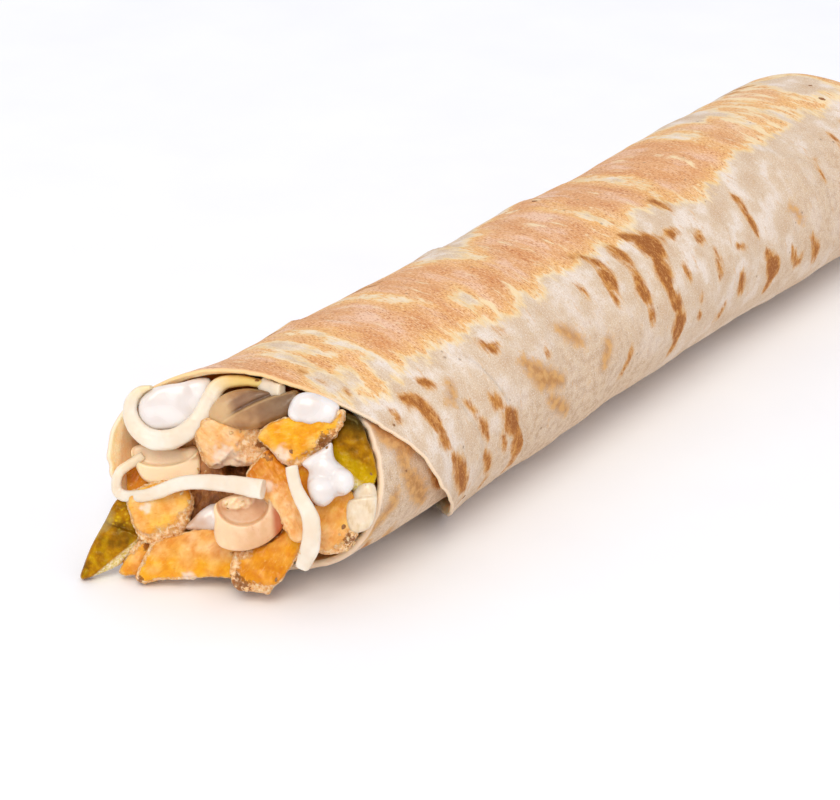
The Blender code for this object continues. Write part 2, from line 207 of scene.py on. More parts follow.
# %% Wind the sheet
NEAR_ROWS, LENGTH_ROWS, CORNER_ROWS, TUCK_ROWS = 100, 108, 10, 19
NEAR_PART = 0.29  # of the length, which shows most and gets closer rows
SPREAD = 1.25  # the length grows with this power of the share
INNER_STEPS, OUTER_STEPS = 50, 150
MM_PER_DEGREE = 0.506  # of arc, at the roll's mean radius
PLEATS, PLEAT_HEIGHT = 9, 1.2

along = np.concatenate([
    np.linspace(0, NEAR_PART, NEAR_ROWS, endpoint=False), np.linspace(NEAR_PART, 1, LENGTH_ROWS)
])
shares = np.concatenate([
    ROUND_FROM * along ** (1 / SPREAD),
    np.linspace(ROUND_FROM, TUCK_FROM, CORNER_ROWS + 1)[1:],
    np.linspace(TUCK_FROM, 1, TUCK_ROWS + 1)[1:],
])
winds = np.concatenate([
    np.linspace(WIND_START, INNER_END, INNER_STEPS, endpoint=False),
    np.linspace(INNER_END, WIND_END, OUTER_STEPS + 1),
])
wind, share = np.meshgrid(winds, shares)


def roll_points(wind, share, fine):
    """Where points of the flat sheet lie once rolled. fine is extra height over the plain roll."""
    corner_y = FAR_END_Y - CORNER
    depth = LAYER_STEP * (WIND_START - wind) / 360
    front = rim_behind(wind)
    on_side = share <= ROUND_FROM
    swing = math.radians(90) * np.clip((share - ROUND_FROM) / (TUCK_FROM - ROUND_FROM), 0, 1)
    pull = np.clip((share - TUCK_FROM) / (1 - TUCK_FROM), 0, 1)
    shrink = CORNER * (1 - np.cos(swing))
    y_side = front + (corner_y - front) * np.minimum(share / ROUND_FROM, 1) ** SPREAD
    y_end = corner_y + (CORNER + depth - LAYER_STEP) * np.sin(swing) - TUCK_DISH * pull**1.5
    y = np.where(on_side, y_side, y_end)
    x, z = section_point(wind, layer_growth(wind, y) - shrink + fine * (1 - pull))
    z = np.maximum(z, floor_under(wind) + shrink * 0.6)
    slot_x, slot_z = section_point(wind, -CORNER)
    slot_x, slot_z = slot_x * TUCK_SLOT[0], ROLL_HEIGHT / 2 + (slot_z - ROLL_HEIGHT / 2) * TUCK_SLOT[1]
    pleat = PLEAT_HEIGHT * pull * (1 - pull) * np.sin(np.radians(wind) * PLEATS)
    return np.stack([x + (slot_x - x) * pull, y + pleat * 2, z + (slot_z - z) * pull], axis=-1)


plain = roll_points(wind, share, 0.0)
behind = plain[..., 1] - MOUTH_Y
arc = -wind * MM_PER_DEGREE
flat = np.stack([arc, behind, np.zeros_like(arc)], axis=-1)
swells = noise_field(flat, 14, 1) * 0.45 + noise_field(flat * (0.35, 1, 1), 3.2, 2) * 0.16
fine = lap_relief(wind, behind) + swells.reshape(wind.shape)
sheet_points = roll_points(wind, share, fine)
ragged = noise_field(flat[:1] * (1, 0, 0), 2.6, 3) * 0.7 + noise_field(flat[:1] * (1, 0, 0), 0.9, 4) * 0.25
edge_fade = np.exp(-(behind - behind[:1]) / 2.5)
sheet_points[..., 1] += edge_fade * ragged[None, :]
print("sheet grid:", wind.shape, "wrinkles up to", round(float(np.abs(fine).max()), 2), "mm")

# %% [markdown]
# ## From points to a mesh with thickness
# The points are a plain grid, so the faces follow from row and column numbers. Blender's Solidify
# modifier gives the sheet its 1.7 mm, inwards. It keeps the attributes that each point carries, and the
# toast is told by attributes.

# %% Mesh the sheet
def mesh_object(name, points_mm, faces):
    mesh = bpy.data.meshes.new(name)
    mesh.from_pydata((np.asarray(points_mm) * MM).tolist(), [], faces)
    mesh.shade_smooth()
    return add_object(name, mesh)


def set_attribute(thing, name, values):
    values = np.asarray(values, np.float32)
    kind, field = ("FLOAT_VECTOR", "vector") if values.ndim == 2 else ("FLOAT", "value")
    made = thing.data.attributes.get(name) or thing.data.attributes.new(name, kind, "POINT")
    made.data.foreach_set(field, values.ravel())


def apply_modifiers(thing):
    """Leaves the mesh as the modifiers make it."""
    depsgraph = bpy.context.evaluated_depsgraph_get()
    made = bpy.data.meshes.new_from_object(thing.evaluated_get(depsgraph))
    thing.modifiers.clear()
    old, thing.data = thing.data, made
    bpy.data.meshes.remove(old)


rows, columns = wind.shape
corner = np.arange(rows * columns).reshape(rows, columns)
quads = np.stack([corner[:-1, :-1], corner[:-1, 1:], corner[1:, 1:], corner[1:, :-1]], axis=-1)
tortilla = mesh_object("rolled_tortilla", sheet_points.reshape(-1, 3), quads.reshape(-1, 4).tolist())
print("tortilla:", len(tortilla.data.polygons), "faces before its thickness")

# %% [markdown]
# ## Where the griddle has touched
# The griddle browns what stands highest: a broad field along the top, and short streaks further down,
# which run round the roll since the sheet bulges between its wrinkles. A painted picture would do, but
# needs an unwrapped sheet. Instead every point learns how far it is inside the field or a streak, in
# millimetres, and the material turns that distance into colour with a frayed edge.

# %% Places of the toasted field
FIELD_EDGE = {  # mm behind the mouth: the angle round the roll where the field ends on its right
    0: 62, 16: 60, 25: 52, 35: 51, 44: 58, 57: 57, 71: 53, 94: 54, 104: 58, 118: 61, 133: 57, 153: 65,
    170: 61, 176: 55, 190: 62, 203: 66, 221: 68, 239: 70, 262: 66,
}
FIELD_GAPS = [  # angle, mm behind, half length round the roll, half length along it
    (72, 19.5, 6, 3.2), (103, 30, 6, 1.3), (91, 38, 7, 1.5), (88, 24, 5, 1.2), (63, 36.5, 4.5, 2.4),
    (64, 27, 4, 2.2), (114, 98, 10, 5.5), (127, 108, 9, 14), (112, 66, 6, 1.4), (70, 78, 3, 2),
    (72, 141, 5, 1.3), (95, 168, 8, 1.3), (118, 222, 7, 9), (99, 227, 9, 1.6), (78, 238, 12, 2.4),
    (63, 247, 5, 3), (96, 263, 13, 6.5), (108, 205, 7, 1.6),
]
print("the field's edge has", len(FIELD_EDGE), "places, and the field has", len(FIELD_GAPS), "gaps")

# %% Places of the streaks
STREAKS = [  # half width in mm, then places as winding angle and mm behind the mouth
    (2.1, (-314, 42.5), (-318, 44.5)),
    (2.0, (-316, 34), (-324, 37), (-335, 38.2), (-339, 39.3)),
    (1.5, (-339, 39.5), (-344, 38.6), (-350, 39.8)),
    (2.9, (-357, 42), (-368, 44.2), (-379, 46)),
    (1.4, (-334, 51), (-341, 53.4)),
    (1.3, (-346, 54.6), (-358, 56.4)),
    (1.7, (-365, 55.6), (-379, 58.3)),
    (1.0, (-384, 59), (-396, 60)),
    (2.1, (-338, 60), (-346, 62.8)),
    (3.4, (-350, 63.8), (-356, 66), (-364, 68.6)),
    (2.4, (-364, 68.6), (-371, 69.1), (-380, 69)),
    (1.6, (-380, 69), (-394, 69.9)),
    (1.0, (-362, 62.5), (-372, 64)),
    (0.8, (-389, 48.5), (-392, 49)),
    (1.2, (-320, 28), (-326, 27.6)),
    (1.0, (-311, 68), (-318, 69), (-317, 72)),
    (1.3, (-296.5, 119.4), (-302, 123)),
    (2.1, (-302, 123), (-310, 123.9)),
    (2.8, (-310, 123.9), (-317.5, 123), (-321, 121.5)),
    (1.9, (-325, 120.3), (-330, 121)),
    (1.6, (-302, 133), (-310, 133.3), (-318, 132.4)),
    (2.1, (-318, 132.3), (-330, 131.6), (-340, 132.5)),
    (1.5, (-340, 132.5), (-352, 132.1)),
    (2.4, (-300.7, 140.1), (-305.4, 143.2)),
    (4.8, (-306, 143.4), (-312.6, 144.8), (-318, 143.7)),
    (3.2, (-318, 143.7), (-327.6, 142.5), (-338.8, 142.3)),
    (3.2, (-338.8, 142.3), (-352, 144.3)),
    (2.9, (-352, 144.3), (-361, 144.4), (-371.7, 144.6)),
    (2.0, (-371.7, 144.6), (-382, 145)),
    (2.4, (-291, 162.4), (-299.7, 163.6)),
    (1.7, (-312, 152.2), (-312.6, 157.6)),
    (1.5, (-319, 165.1), (-324.4, 162.8)),
    (1.8, (-332, 167.8), (-346.5, 167)),
    (1.8, (-330.5, 151.6), (-338.6, 152)),
    (1.5, (-336.5, 177.4), (-339.3, 181.3)),
    (2.1, (-312, 187.5), (-316, 187.7)),
    (1.6, (-316, 187.7), (-324, 187.6)),
    (1.9, (-324, 187.6), (-336.4, 188.7)),
    (2.4, (-356.3, 178.1), (-368.7, 178.7)),
    (1.8, (-350.5, 191.4), (-356, 193)),
    (3.6, (-356, 193), (-364, 194.8), (-372.7, 194.9)),
    (2.2, (-372.7, 194.9), (-378.6, 193.5)),
    (1.7, (-358, 204.9), (-370.8, 207.1)),
    (1.2, (-366, 210.1), (-372, 208.5)),
    (1.7, (-357, 215), (-369, 218), (-378, 218)),
    (1.7, (-369.3, 169.6), (-378, 167.6)),
    (0.9, (-350, 156), (-355, 156)),
    (0.8, (-362, 155), (-366, 155.4)),
    (0.9, (-356, 122), (-363, 121), (-372, 118)),
    (0.9, (-311, 112), (-319, 112)),
    (1.0, (-310, 76), (-317, 77)),
    (0.8, (-332, 87), (-335, 87)),
    (0.9, (-278, 19), (-281, 19.5)),
    (0.8, (-287, 20), (-290, 20)),
    (0.8, (-299, 22), (-302, 22)),
    (2.2, (3, 35.5), (-8, 38.5)), (3.4, (-8, 38.5), (-16, 42)),
    (1.2, (-28, 15), (-44, 19), (-58, 18)),
]
print("streaks that the picture shows:", len(STREAKS))

# %% Pale patches and unseen streaks
PATCHES = [  # paler brown clouds, told like the streaks
    (3.4, (38, 22), (30, 25), (24, 27), (17, 29)),
    (2.4, (22, 25), (8, 26)),
    (2.8, (9, 25.5), (-3, 28.5), (-21, 34.5)),
    (1.7, (1, 21), (-6, 19.8), (-12, 16.6), (-17, 13.2), (-26, 12)),
    (1.6, (-30, 24), (-46, 27)),
    (3.0, (-331, 77), (-344, 82), (-352, 90)),
    (2.6, (-326, 96), (-338, 101)),
    (2.4, (-358, 84), (-372, 92)),
    (2.2, (-345, 112), (-358, 108)),
    (1.6, (-333, 208), (-344, 211)),
    (1.8, (-322, 50), (-330, 46)),
]
UNSEEN = [  # streaks on unseen parts: how many, where they start, mm behind, widest half width, length
    (34, (-232, -120), (20, 262), 1.7, (4, 22)),  # on the left flank
    (9, (-368, -300), (228, 266), 1.3, (6, 20)),  # beyond the picture's right edge
]
luck = random.Random(11)
for how_many, winds_from, places_from, widest, lengths in UNSEEN:
    for _ in range(how_many):
        start, place = luck.uniform(*winds_from), luck.uniform(*places_from)
        half = luck.uniform(0.6, widest)
        end = start - luck.uniform(*lengths)
        STREAKS.append((half, (start, place), (end, place + luck.uniform(-3, 3))))
print("toast marks:", len(STREAKS), "streaks and", len(PATCHES), "pale patches")

# %% [markdown]
# ## From places to distances
# A streak is a line with a width, so its distance is measured to the nearest of its segments. The field
# has an edge on each side and gaps in it. Below zero a point lies outside, and beyond 9 mm it makes no
# difference how far. Two more values tell where the bare skin is beige, which on the right flank and low
# on the roll is partly painted shade, and where the toast is worn.

# %% Map the toast
FAR_OFF = 9.0


def inside_strokes(strokes, wind, behind):
    """How far each point is inside the nearest stroke, in mm; below zero outside."""
    best = np.full(wind.shape, -FAR_OFF)
    here = np.stack([wind * MM_PER_DEGREE, behind], axis=-1)
    for half, *places in strokes:
        line = np.array([(w * MM_PER_DEGREE, b) for w, b in places])
        for k, (a, b) in enumerate(zip(line, line[1:])):
            t = np.clip(((here - a) @ (b - a)) / max(float((b - a) @ (b - a)), 1e-6), 0, 1)
            gap = np.linalg.norm(here - (a + t[..., None] * (b - a)), axis=-1)
            ends = 0.55 * half * ((k == 0) * (1 - t) ** 2 + (k == len(line) - 2) * t**2)
            best = np.maximum(best, half - ends - gap)
    return best


def tanned(wind, behind):
    """How beige the bare skin is, from 0 to 1: on the right flank, and on the inner layer by the mouth.
    On the right flank and low on the roll it is partly painted shade.
    """
    flank = np.exp(-((angle_gap(wind, -8) / 42) ** 2) - ((behind - 98) / 34) ** 2)
    shoulder = 0.9 * np.exp(-((angle_gap(wind, 20) / 30) ** 2) - ((behind - 235) / 28) ** 2)
    low = 0.45 * smoothstep(30, -25, (wind + 180) % 360 - 180)
    inner = np.exp(-((angle_gap(wind, 2) / 46) ** 2) - ((behind - 29) / 23) ** 2) * (wind > INNER_END)
    return np.clip(flank + shoulder + low + inner, 0, 1)


def worn_through(wind, behind):
    """Where the toasted field breaks up into cream: by its right edge and at the far end."""
    return np.clip(0.2 + 0.6 * smoothstep(195, 225, behind) + 0.35 * smoothstep(14, 2, wind + 300), 0, 1)


def inside_field(wind, behind):
    """How far each point of the outer layer is inside the toasted top or underside."""
    angle = wind + 360
    edges = sorted(FIELD_EDGE)
    right = (angle - np.interp(behind, edges, [FIELD_EDGE[b] for b in edges])) * MM_PER_DEGREE
    left = (130 + 6 * np.sin(behind / 23) - angle) * MM_PER_DEGREE
    top = np.minimum(right, left)
    for centre, place, half_round, half_along in FIELD_GAPS:
        far = np.hypot((angle - centre) * MM_PER_DEGREE / half_round, (behind - place) / half_along)
        top = np.minimum(top, (far - 1) * min(half_round, half_along))
    under = (24 - angle_gap(angle, 268)) * MM_PER_DEGREE
    return np.where(wind < INNER_END - 8, np.clip(np.maximum(top, under), -FAR_OFF, FAR_OFF), -FAR_OFF)


walked = np.linalg.norm(np.diff(plain, axis=0), axis=-1)
run = behind[:1] + np.concatenate([np.zeros((1, columns)), np.cumsum(walked, axis=0)])
from_edge = run - behind[:1]
toasted = inside_field(wind, run)
wet_part = smoothstep(-200, -240, wind) * (1 - smoothstep(-290, -308, wind))
told = {
    "streak": inside_strokes(STREAKS, wind, run),
    "patch": inside_strokes(PATCHES, wind, run),
    "worn": worn_through(wind, run),
    "field": toasted,
    "rim": np.exp(-from_edge / np.where(wind > INNER_END, 1.3, 0.7)),
    "wet_rim": wet_part * np.exp(-from_edge / 1.3),
    # partly painted shade: beige on the right flank and low on the roll
    "tan": tanned(wind, run),
}
set_attribute(tortilla, "sheet", np.stack([arc, run, np.zeros_like(arc)], axis=-1).reshape(-1, 3))
for name, values in told.items():
    set_attribute(tortilla, name, values.ravel())
print("toasted share of the sheet:", round(float((toasted > 0).mean()), 2))

# %% Give the sheet its thickness
INNER_RIM, OUTER_RIM = 0.95, 0.45  # shares of the thickness that are left at the rim
RIM_TAPER = 2.6  # mm behind the rim where the sheet has all of its thickness
outer_count = len(tortilla.data.vertices)
body = tortilla.vertex_groups.new(name="thick")
for row in range(rows):
    grown = float(smoothstep(0, RIM_TAPER, from_edge[row].mean()))
    for thin, layer in ((INNER_RIM, winds > INNER_END), (OUTER_RIM, winds <= INNER_END)):
        body.add([int(v) for v in corner[row][layer]], thin + (1 - thin) * grown, "REPLACE")
solid = tortilla.modifiers.new("thickness", "SOLIDIFY")
solid.thickness, solid.offset, solid.use_even_offset = SHEET * MM, -1, False
solid.vertex_group = "thick"
apply_modifiers(tortilla)
set_attribute(tortilla, "inside", np.arange(len(tortilla.data.vertices)) >= outer_count)
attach(tortilla, "root")
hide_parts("tortilla")
print("tortilla:", sum(len(p.vertices) - 2 for p in tortilla.data.polygons), "triangles")

# %% [markdown]
# ## A kit for finishes
# Every finish here is a small tree of nodes. Wiring them one by one in code is long, so one class keeps
# the tree and has a word for each step that the finishes share: a place to sample, a noise, a ramp, a
# blend, a relief. A second class adds the material. Sizes are in millimetres, and colours are given as
# they look on a screen, 0 to 255, and turned into light values.

# %% Finish kit
def shade(red, green, blue):
    """A colour as a screen shows it, turned into light values."""
    light = [c / 255 / 12.92 if c <= 10 else ((c / 255 + 0.055) / 1.055) ** 2.4 for c in (red, green, blue)]
    return (*light, 1.0)


class Wiring:
    """A tree of nodes, and a word for each step of a finish."""

    def __init__(self, tree):
        self.tree = tree

    def node(self, kind, inputs=None, **settings):
        made = self.tree.nodes.new("ShaderNode" + kind)
        for key, value in settings.items():
            setattr(made, key, value)
        for key, value in (inputs or {}).items():
            if isinstance(value, bpy.types.NodeSocket):
                self.tree.links.new(value, made.inputs[key])
            else:
                made.inputs[key].default_value = value
        return made

    def attribute(self, name, output="Fac"):
        return self.node("Attribute", attribute_name=name).outputs[output]

    def place(self, stretch=(1, 1, 1), attribute=None):
        """Where the finish is sampled, in mm: on the object, or by a vector that each point carries."""
        spot = self.attribute(attribute, "Vector") if attribute else self.node("TexCoord").outputs["Object"]
        unit = 1.0 if attribute else 1 / MM
        scale = tuple(unit * s for s in stretch)
        return self.node("Mapping", {"Vector": spot, "Scale": scale}).outputs["Vector"]

    def noise(self, place, size, detail=3.0, rough=0.55, distortion=0.0):
        inputs = {"Vector": place, "Scale": 1 / size, "Detail": detail, "Roughness": rough,
                  "Distortion": distortion}
        return self.node("TexNoise", inputs).outputs["Fac"]

    def cells(self, place, size):
        return self.node("TexVoronoi", {"Vector": place, "Scale": 1 / size}).outputs["Distance"]

    def maths(self, operation, a, b):
        return self.node("Math", {0: a, 1: b}, operation=operation).outputs[0]

    def plus(self, a, b):
        return self.maths("ADD", a, b)

    def times(self, a, b):
        return self.maths("MULTIPLY", a, b)

    def centred(self, value, width):
        """Noise, which lies round 0.5, as a shift to both sides of zero."""
        return self.times(self.maths("SUBTRACT", value, 0.5), width)

    def steps(self, value, low, high, to=(0.0, 1.0)):
        inputs = {"Value": value, "From Min": low, "From Max": high, "To Min": to[0], "To Max": to[1]}
        return self.node("MapRange", inputs, interpolation_type="SMOOTHSTEP").outputs["Result"]

    def blend(self, factor, a, b):
        a, b = (shade(*c) if isinstance(c, tuple) else c for c in (a, b))
        return self.node("Mix", {0: factor, 6: a, 7: b}, data_type="RGBA").outputs[2]

    def over(self, base, colour, pattern, low, high, share=1.0):
        """A second colour over the first, where a pattern goes from low to high."""
        return self.blend(self.steps(pattern, low, high, (0.0, share)), base, colour)

    def ramp(self, factor, *stops):
        made = self.node("ValToRGB", {"Fac": factor})
        while len(made.color_ramp.elements) < len(stops):
            made.color_ramp.elements.new(0.5)
        for element, (position, colour) in zip(made.color_ramp.elements, stops):
            element.position, element.color = position, shade(*colour)
        return made.outputs["Color"]

    def relief(self, height, depth):
        inputs = {"Height": height, "Distance": depth * MM, "Strength": 1.0}
        return self.node("Bump", inputs).outputs["Normal"]


print("wiring kit ready; a mid grey reads", round(shade(128, 128, 128)[0], 3))

# %% From wiring to a material
class Finish(Wiring):
    """A material and its wiring. soft lets light through, soft_depth mm deep."""

    def __init__(self, name, roughness=0.5, soft=0.0, soft_depth=2.0, soft_tint=(1.0, 0.55, 0.3), coat=0.0,
                 coat_roughness=0.2, shine=0.5, shine_tint=(1.0, 1.0, 1.0)):
        self.material = bpy.data.materials.new(name)
        self.material.use_nodes = True
        super().__init__(self.material.node_tree)
        self.shader = self.tree.nodes["Principled BSDF"]
        constants = {"Roughness": roughness, "Subsurface Weight": soft, "Subsurface Scale": soft_depth * MM,
                     "Subsurface Radius": soft_tint, "Coat Weight": coat, "Coat Roughness": coat_roughness,
                     "Specular IOR Level": shine, "Specular Tint": (*shine_tint, 1.0)}
        for key, value in constants.items():
            self.shader.inputs[key].default_value = value

    def wear(self, **sockets):
        names = {"colour": "Base Color", "roughness": "Roughness", "normal": "Normal",
                 "soft": "Subsurface Weight"}
        for key, socket in sockets.items():
            self.tree.links.new(socket, self.shader.inputs[names[key]])
        return self.material

    def wear_grain(self, colour, grain, rough, depth):
        """For moist food: one fine noise gives the roughness, between two values, and the relief."""
        roughness = self.steps(grain, 0.3, 0.7, rough)
        return self.wear(colour=colour, roughness=roughness, normal=self.relief(grain, depth))


def dress(thing, material):
    thing.data.materials.clear()
    thing.data.materials.append(material)


print("words for a finish:", ", ".join(w for w in [*vars(Wiring), *vars(Finish)] if not w.startswith("_")))

# %% [markdown]
# ## Toasted flour sheet
# An untoasted tortilla is cream with grey-beige clouds, and has a matt, floury skin. Where it touched the
# griddle it turns from straw to orange-brown, with darker specks, and the edge of each patch breaks up
# into small flames. The distances that the points carry are roughened by noise that is stretched round
# the roll, then cut into steps.

# %% Patterns and bare skin
def sheet_patterns(f):
    """The noises that the sheet's colours share. The stretched ones run round the roll."""
    sheet = f.place(attribute="sheet")
    streaky, dashed, short = (f.place(stretch=(s, 1, 1), attribute="sheet") for s in (0.33, 0.2, 0.5))
    return SimpleNamespace(
        sheet=sheet, streaky=streaky, dashed=dashed, short=short,
        clouds=f.noise(sheet, 9), mottle=f.noise(sheet, 2.4, detail=5),
        grain=f.noise(sheet, 0.42, detail=2, rough=0.7), specks=f.noise(short, 0.4, detail=2, rough=0.7),
        frays=f.noise(streaky, 0.9, detail=4, rough=0.7), lace=f.noise(short, 2.2, detail=5, rough=0.7))


def bare_skin(f, p):
    """Cream clouds, beige where the points say so, with grains of two tones and pale brown patches."""
    cream = f.ramp(p.clouds, (0.34, (212, 181, 149)), (0.5, (223, 199, 172)), (0.62, (237, 221, 206)))
    beige = f.ramp(p.mottle, (0.38, (196, 162, 128)), (0.5, (212, 182, 150)), (0.62, (224, 200, 171)))
    # partly painted shade: the beige on the right flank and low on the roll stands in for the shade there
    skin = f.blend(f.times(f.attribute("tan"), 0.85), cream, beige)
    skin = f.over(skin, (208, 174, 132), p.mottle, 0.52, 0.72, 0.5)
    skin = f.over(skin, (186, 150, 112), p.grain, 0.5, 0.72, 0.4)
    skin = f.over(skin, (246, 238, 228), p.grain, 0.5, 0.3, 0.5)
    faint = f.steps(f.noise(p.streaky, 1.7, detail=4, rough=0.6), 0.58, 0.72, (0, 0.7))
    skin = f.blend(f.times(faint, f.steps(p.clouds, 0.4, 0.58)), skin, (218, 168, 110))
    blotch = f.plus(f.attribute("patch"), f.centred(p.mottle, 6))
    browned = f.ramp(p.mottle, (0.4, (184, 124, 56)), (0.6, (216, 160, 88)))
    return f.over(skin, browned, blotch, -2.2, 1.6, 0.85)


print("skin: cream is", [round(c, 2) for c in shade(223, 199, 172)[:3]], "in light values")

# %% Toasted field
def toast_depth(f, p):
    """How deep each place lies in the toasted field, whose edge is frayed by noise of three sizes."""
    flames = f.noise(p.streaky, 4.0, detail=6, rough=0.62)
    depth = f.plus(f.attribute("field"), f.plus(f.centred(flames, 12), f.centred(p.frays, 4)))
    return f.plus(depth, f.centred(f.noise(p.sheet, 11, detail=3), 9))


def toasted_field(f, p, depth, skin):
    """Peach to orange-brown with specks and scorched dashes, worn pale in places, and straw at its edge."""
    patches = f.noise(p.short, 8, detail=5, rough=0.6)
    toast = f.ramp(patches, (0.36, (240, 196, 166)), (0.5, (228, 166, 110)), (0.66, (214, 138, 74)))
    toast = f.blend(f.times(f.attribute("worn"), 0.5), toast, (246, 204, 146))
    toast = f.over(toast, (242, 188, 116), depth, 5.5, 0.5, 0.8)
    speckled = f.steps(f.noise(p.sheet, 5, detail=2), 0.35, 0.65, (0.45, 0.95))
    toast = f.blend(f.times(speckled, f.steps(p.specks, 0.5, 0.68)), toast, (174, 94, 52))
    toast = f.over(toast, (252, 224, 188), p.specks, 0.5, 0.32, 0.5)
    toast = f.over(toast, (184, 104, 54), f.noise(p.dashed, 1.5, detail=5, rough=0.7), 0.58, 0.7, 0.8)
    pale = f.plus(f.noise(p.streaky, 3.6, detail=5, rough=0.62, distortion=0.4), f.centred(p.lace, 0.35))
    pale = f.plus(pale, f.times(f.attribute("worn"), 0.17))
    toast = f.over(toast, (246, 222, 178), pale, 0.62, 0.74, 0.9)
    straw = f.blend(f.steps(p.lace, 0.4, 0.6), (242, 205, 140), (246, 226, 190))
    skin = f.over(skin, straw, depth, -2.0, 0.4, 0.8)
    return f.over(skin, toast, depth, 0.0, 1.4)


print("toast: orange-brown is", [round(c, 2) for c in shade(228, 166, 110)[:3]], "in light values")

# %% Seared streaks
def seared_streaks(f, p, skin):
    """Straw at their edge and brown inside, with flecks of both, and a few burnt dots between them."""
    wobble = f.plus(f.centred(f.noise(p.streaky, 2.6, detail=5, rough=0.62), 5.5), f.centred(p.frays, 1.6))
    mark = f.plus(f.attribute("streak"), f.plus(wobble, -0.2))
    heat = f.steps(f.plus(mark, f.centred(p.mottle, 5)), -1.8, 1.8)
    seared = f.ramp(heat, (0.0, (232, 188, 126)), (0.35, (210, 150, 78)), (0.65, (186, 120, 52)),
                    (1.0, (158, 92, 36)))
    seared = f.over(seared, (218, 158, 92), p.lace, 0.52, 0.64, 0.7)
    seared = f.over(seared, (222, 164, 94), p.specks, 0.5, 0.34, 0.5)
    seared = f.over(seared, (142, 80, 32), p.grain, 0.5, 0.7, 0.6)
    skin = f.over(skin, seared, mark, -1.6, 0.6)
    return f.over(skin, (120, 84, 60), f.cells(p.sheet, 7.5), 0.07, 0.03, 0.5)


print("streaks: brown is", [round(c, 2) for c in shade(186, 120, 52)[:3]], "in light values")

# %% Put the tortilla's finish together
def tortilla_finish():
    f = Finish("toasted_flour_sheet", roughness=0.7, soft_depth=2.2, soft_tint=(1.0, 0.75, 0.5), shine=0.3)
    p = sheet_patterns(f)
    depth = toast_depth(f, p)
    skin = seared_streaks(f, p, toasted_field(f, p, depth, bare_skin(f, p)))
    # The inside is paler cream, and nearly white as painted light: it stands in for light that comes
    # through the sheet.
    inner = f.ramp(p.mottle, (0.36, (255, 208, 150)), (0.62, (255, 224, 182)))
    skin = f.blend(f.attribute("inside"), skin, inner)
    skin = f.over(skin, (255, 226, 196), f.attribute("rim"), 0.35, 0.9, 0.85)
    skin = f.over(skin, (252, 202, 142), f.attribute("wet_rim"), 0.3, 0.8, 0.8)
    creases = f.noise(p.streaky, 1.3, detail=3)
    height = f.plus(f.times(p.grain, 0.5), f.plus(p.mottle, creases))
    return f.wear(colour=skin, roughness=f.steps(depth, -2, 4, (0.78, 0.6)), normal=f.relief(height, 0.2),
                  soft=f.steps(f.attribute("inside"), 0.0, 1.0, (0.05, 0.7)))


dress(tortilla, tortilla_finish())
print("tortilla dressed with", len(tortilla.data.materials[0].node_tree.nodes), "nodes")

# %% [markdown]
# ## Seeing from the camera's place
# The filling is a heap, and its pieces make sense from the front only. So each piece is drawn as the eye
# sees it: its outline is a few places on a picture of the mouth, enlarged 4.36 times, and a depth says
# how far towards the eye it lies. One formula, the camera's own, turns a place and a depth into a point
# in space.

# %% Places in the picture
VIEW = np.array(CAMERA_TURN.to_matrix())  # its columns are right, up and towards the eye
EYE = np.array(CAMERA_PLACE) / MM
MOUTH_MIDDLE = np.array((0.0, MOUTH_Y, ROLL_HEIGHT / 2))
EYE_TO_MOUTH = float((EYE - MOUTH_MIDDLE) @ VIEW[:, 2])
FRAME_WIDTH, FRAME_HEIGHT = 840, 800
FOCAL = lens.lens / lens.sensor_width * FRAME_WIDTH  # in pixels
ENLARGED, CROP_LEFT, CROP_TOP = 4.3556, 70, 350
PER_MM = ENLARGED * FOCAL / EYE_TO_MOUTH  # steps of the enlarged picture in one millimetre at the mouth


def seen(place, toward):
    """The point that shows at a place of the enlarged picture, so far towards the eye from the mouth."""
    ahead = EYE_TO_MOUTH - toward
    right = (CROP_LEFT + place[0] / ENLARGED - FRAME_WIDTH / 2) / FOCAL * ahead
    up = (FRAME_HEIGHT / 2 - CROP_TOP - place[1] / ENLARGED) / FOCAL * ahead
    return EYE + VIEW @ np.array((right, up, -ahead))


def smooth_path(places, between, closed=False):
    """Places on a Catmull-Rom curve through the given ones."""
    p = [np.array(q, float) for q in places]
    ends = [p[-1]] + p + [p[0], p[1]] if closed else [2 * p[0] - p[1]] + p + [2 * p[-1] - p[-2]]
    curve = []
    for a, b, c, d in zip(ends, ends[1:], ends[2:], ends[3:]):
        for t in np.arange(between) / between:
            bend, twist = 2 * a - 5 * b + 4 * c - d, 3 * b - a - 3 * c + d
            curve.append(0.5 * (2 * b + (c - a) * t + bend * t**2 + twist * t**3))
    return np.array(curve if closed else curve + [p[-1]])


print("one mm at the mouth is", round(PER_MM, 2), "steps of the enlarged picture")

# %% [markdown]
# ## Carving food from blocks
# A piece starts as a block with its outline, a rounded edge and some depth. The Remesh modifier turns it
# into an even skin of small faces, and then the skin is shaped point by point: u is to the right, v up
# and w towards the eye, in millimetres from the middle of its front. The filling lies pressed against the
# inside of the sheet, so what would stick through it is pushed back in, by the roll's own formula.

# %% Keep filling inside the roll
def inner_wall(angle, y):
    """Growth of the section at the innermost face of the sheet, at an angle from -180 to 180."""
    layer = np.where(angle > 60, angle - 360, angle)
    return layer_growth(layer, y) - SHEET, rim_behind(layer)


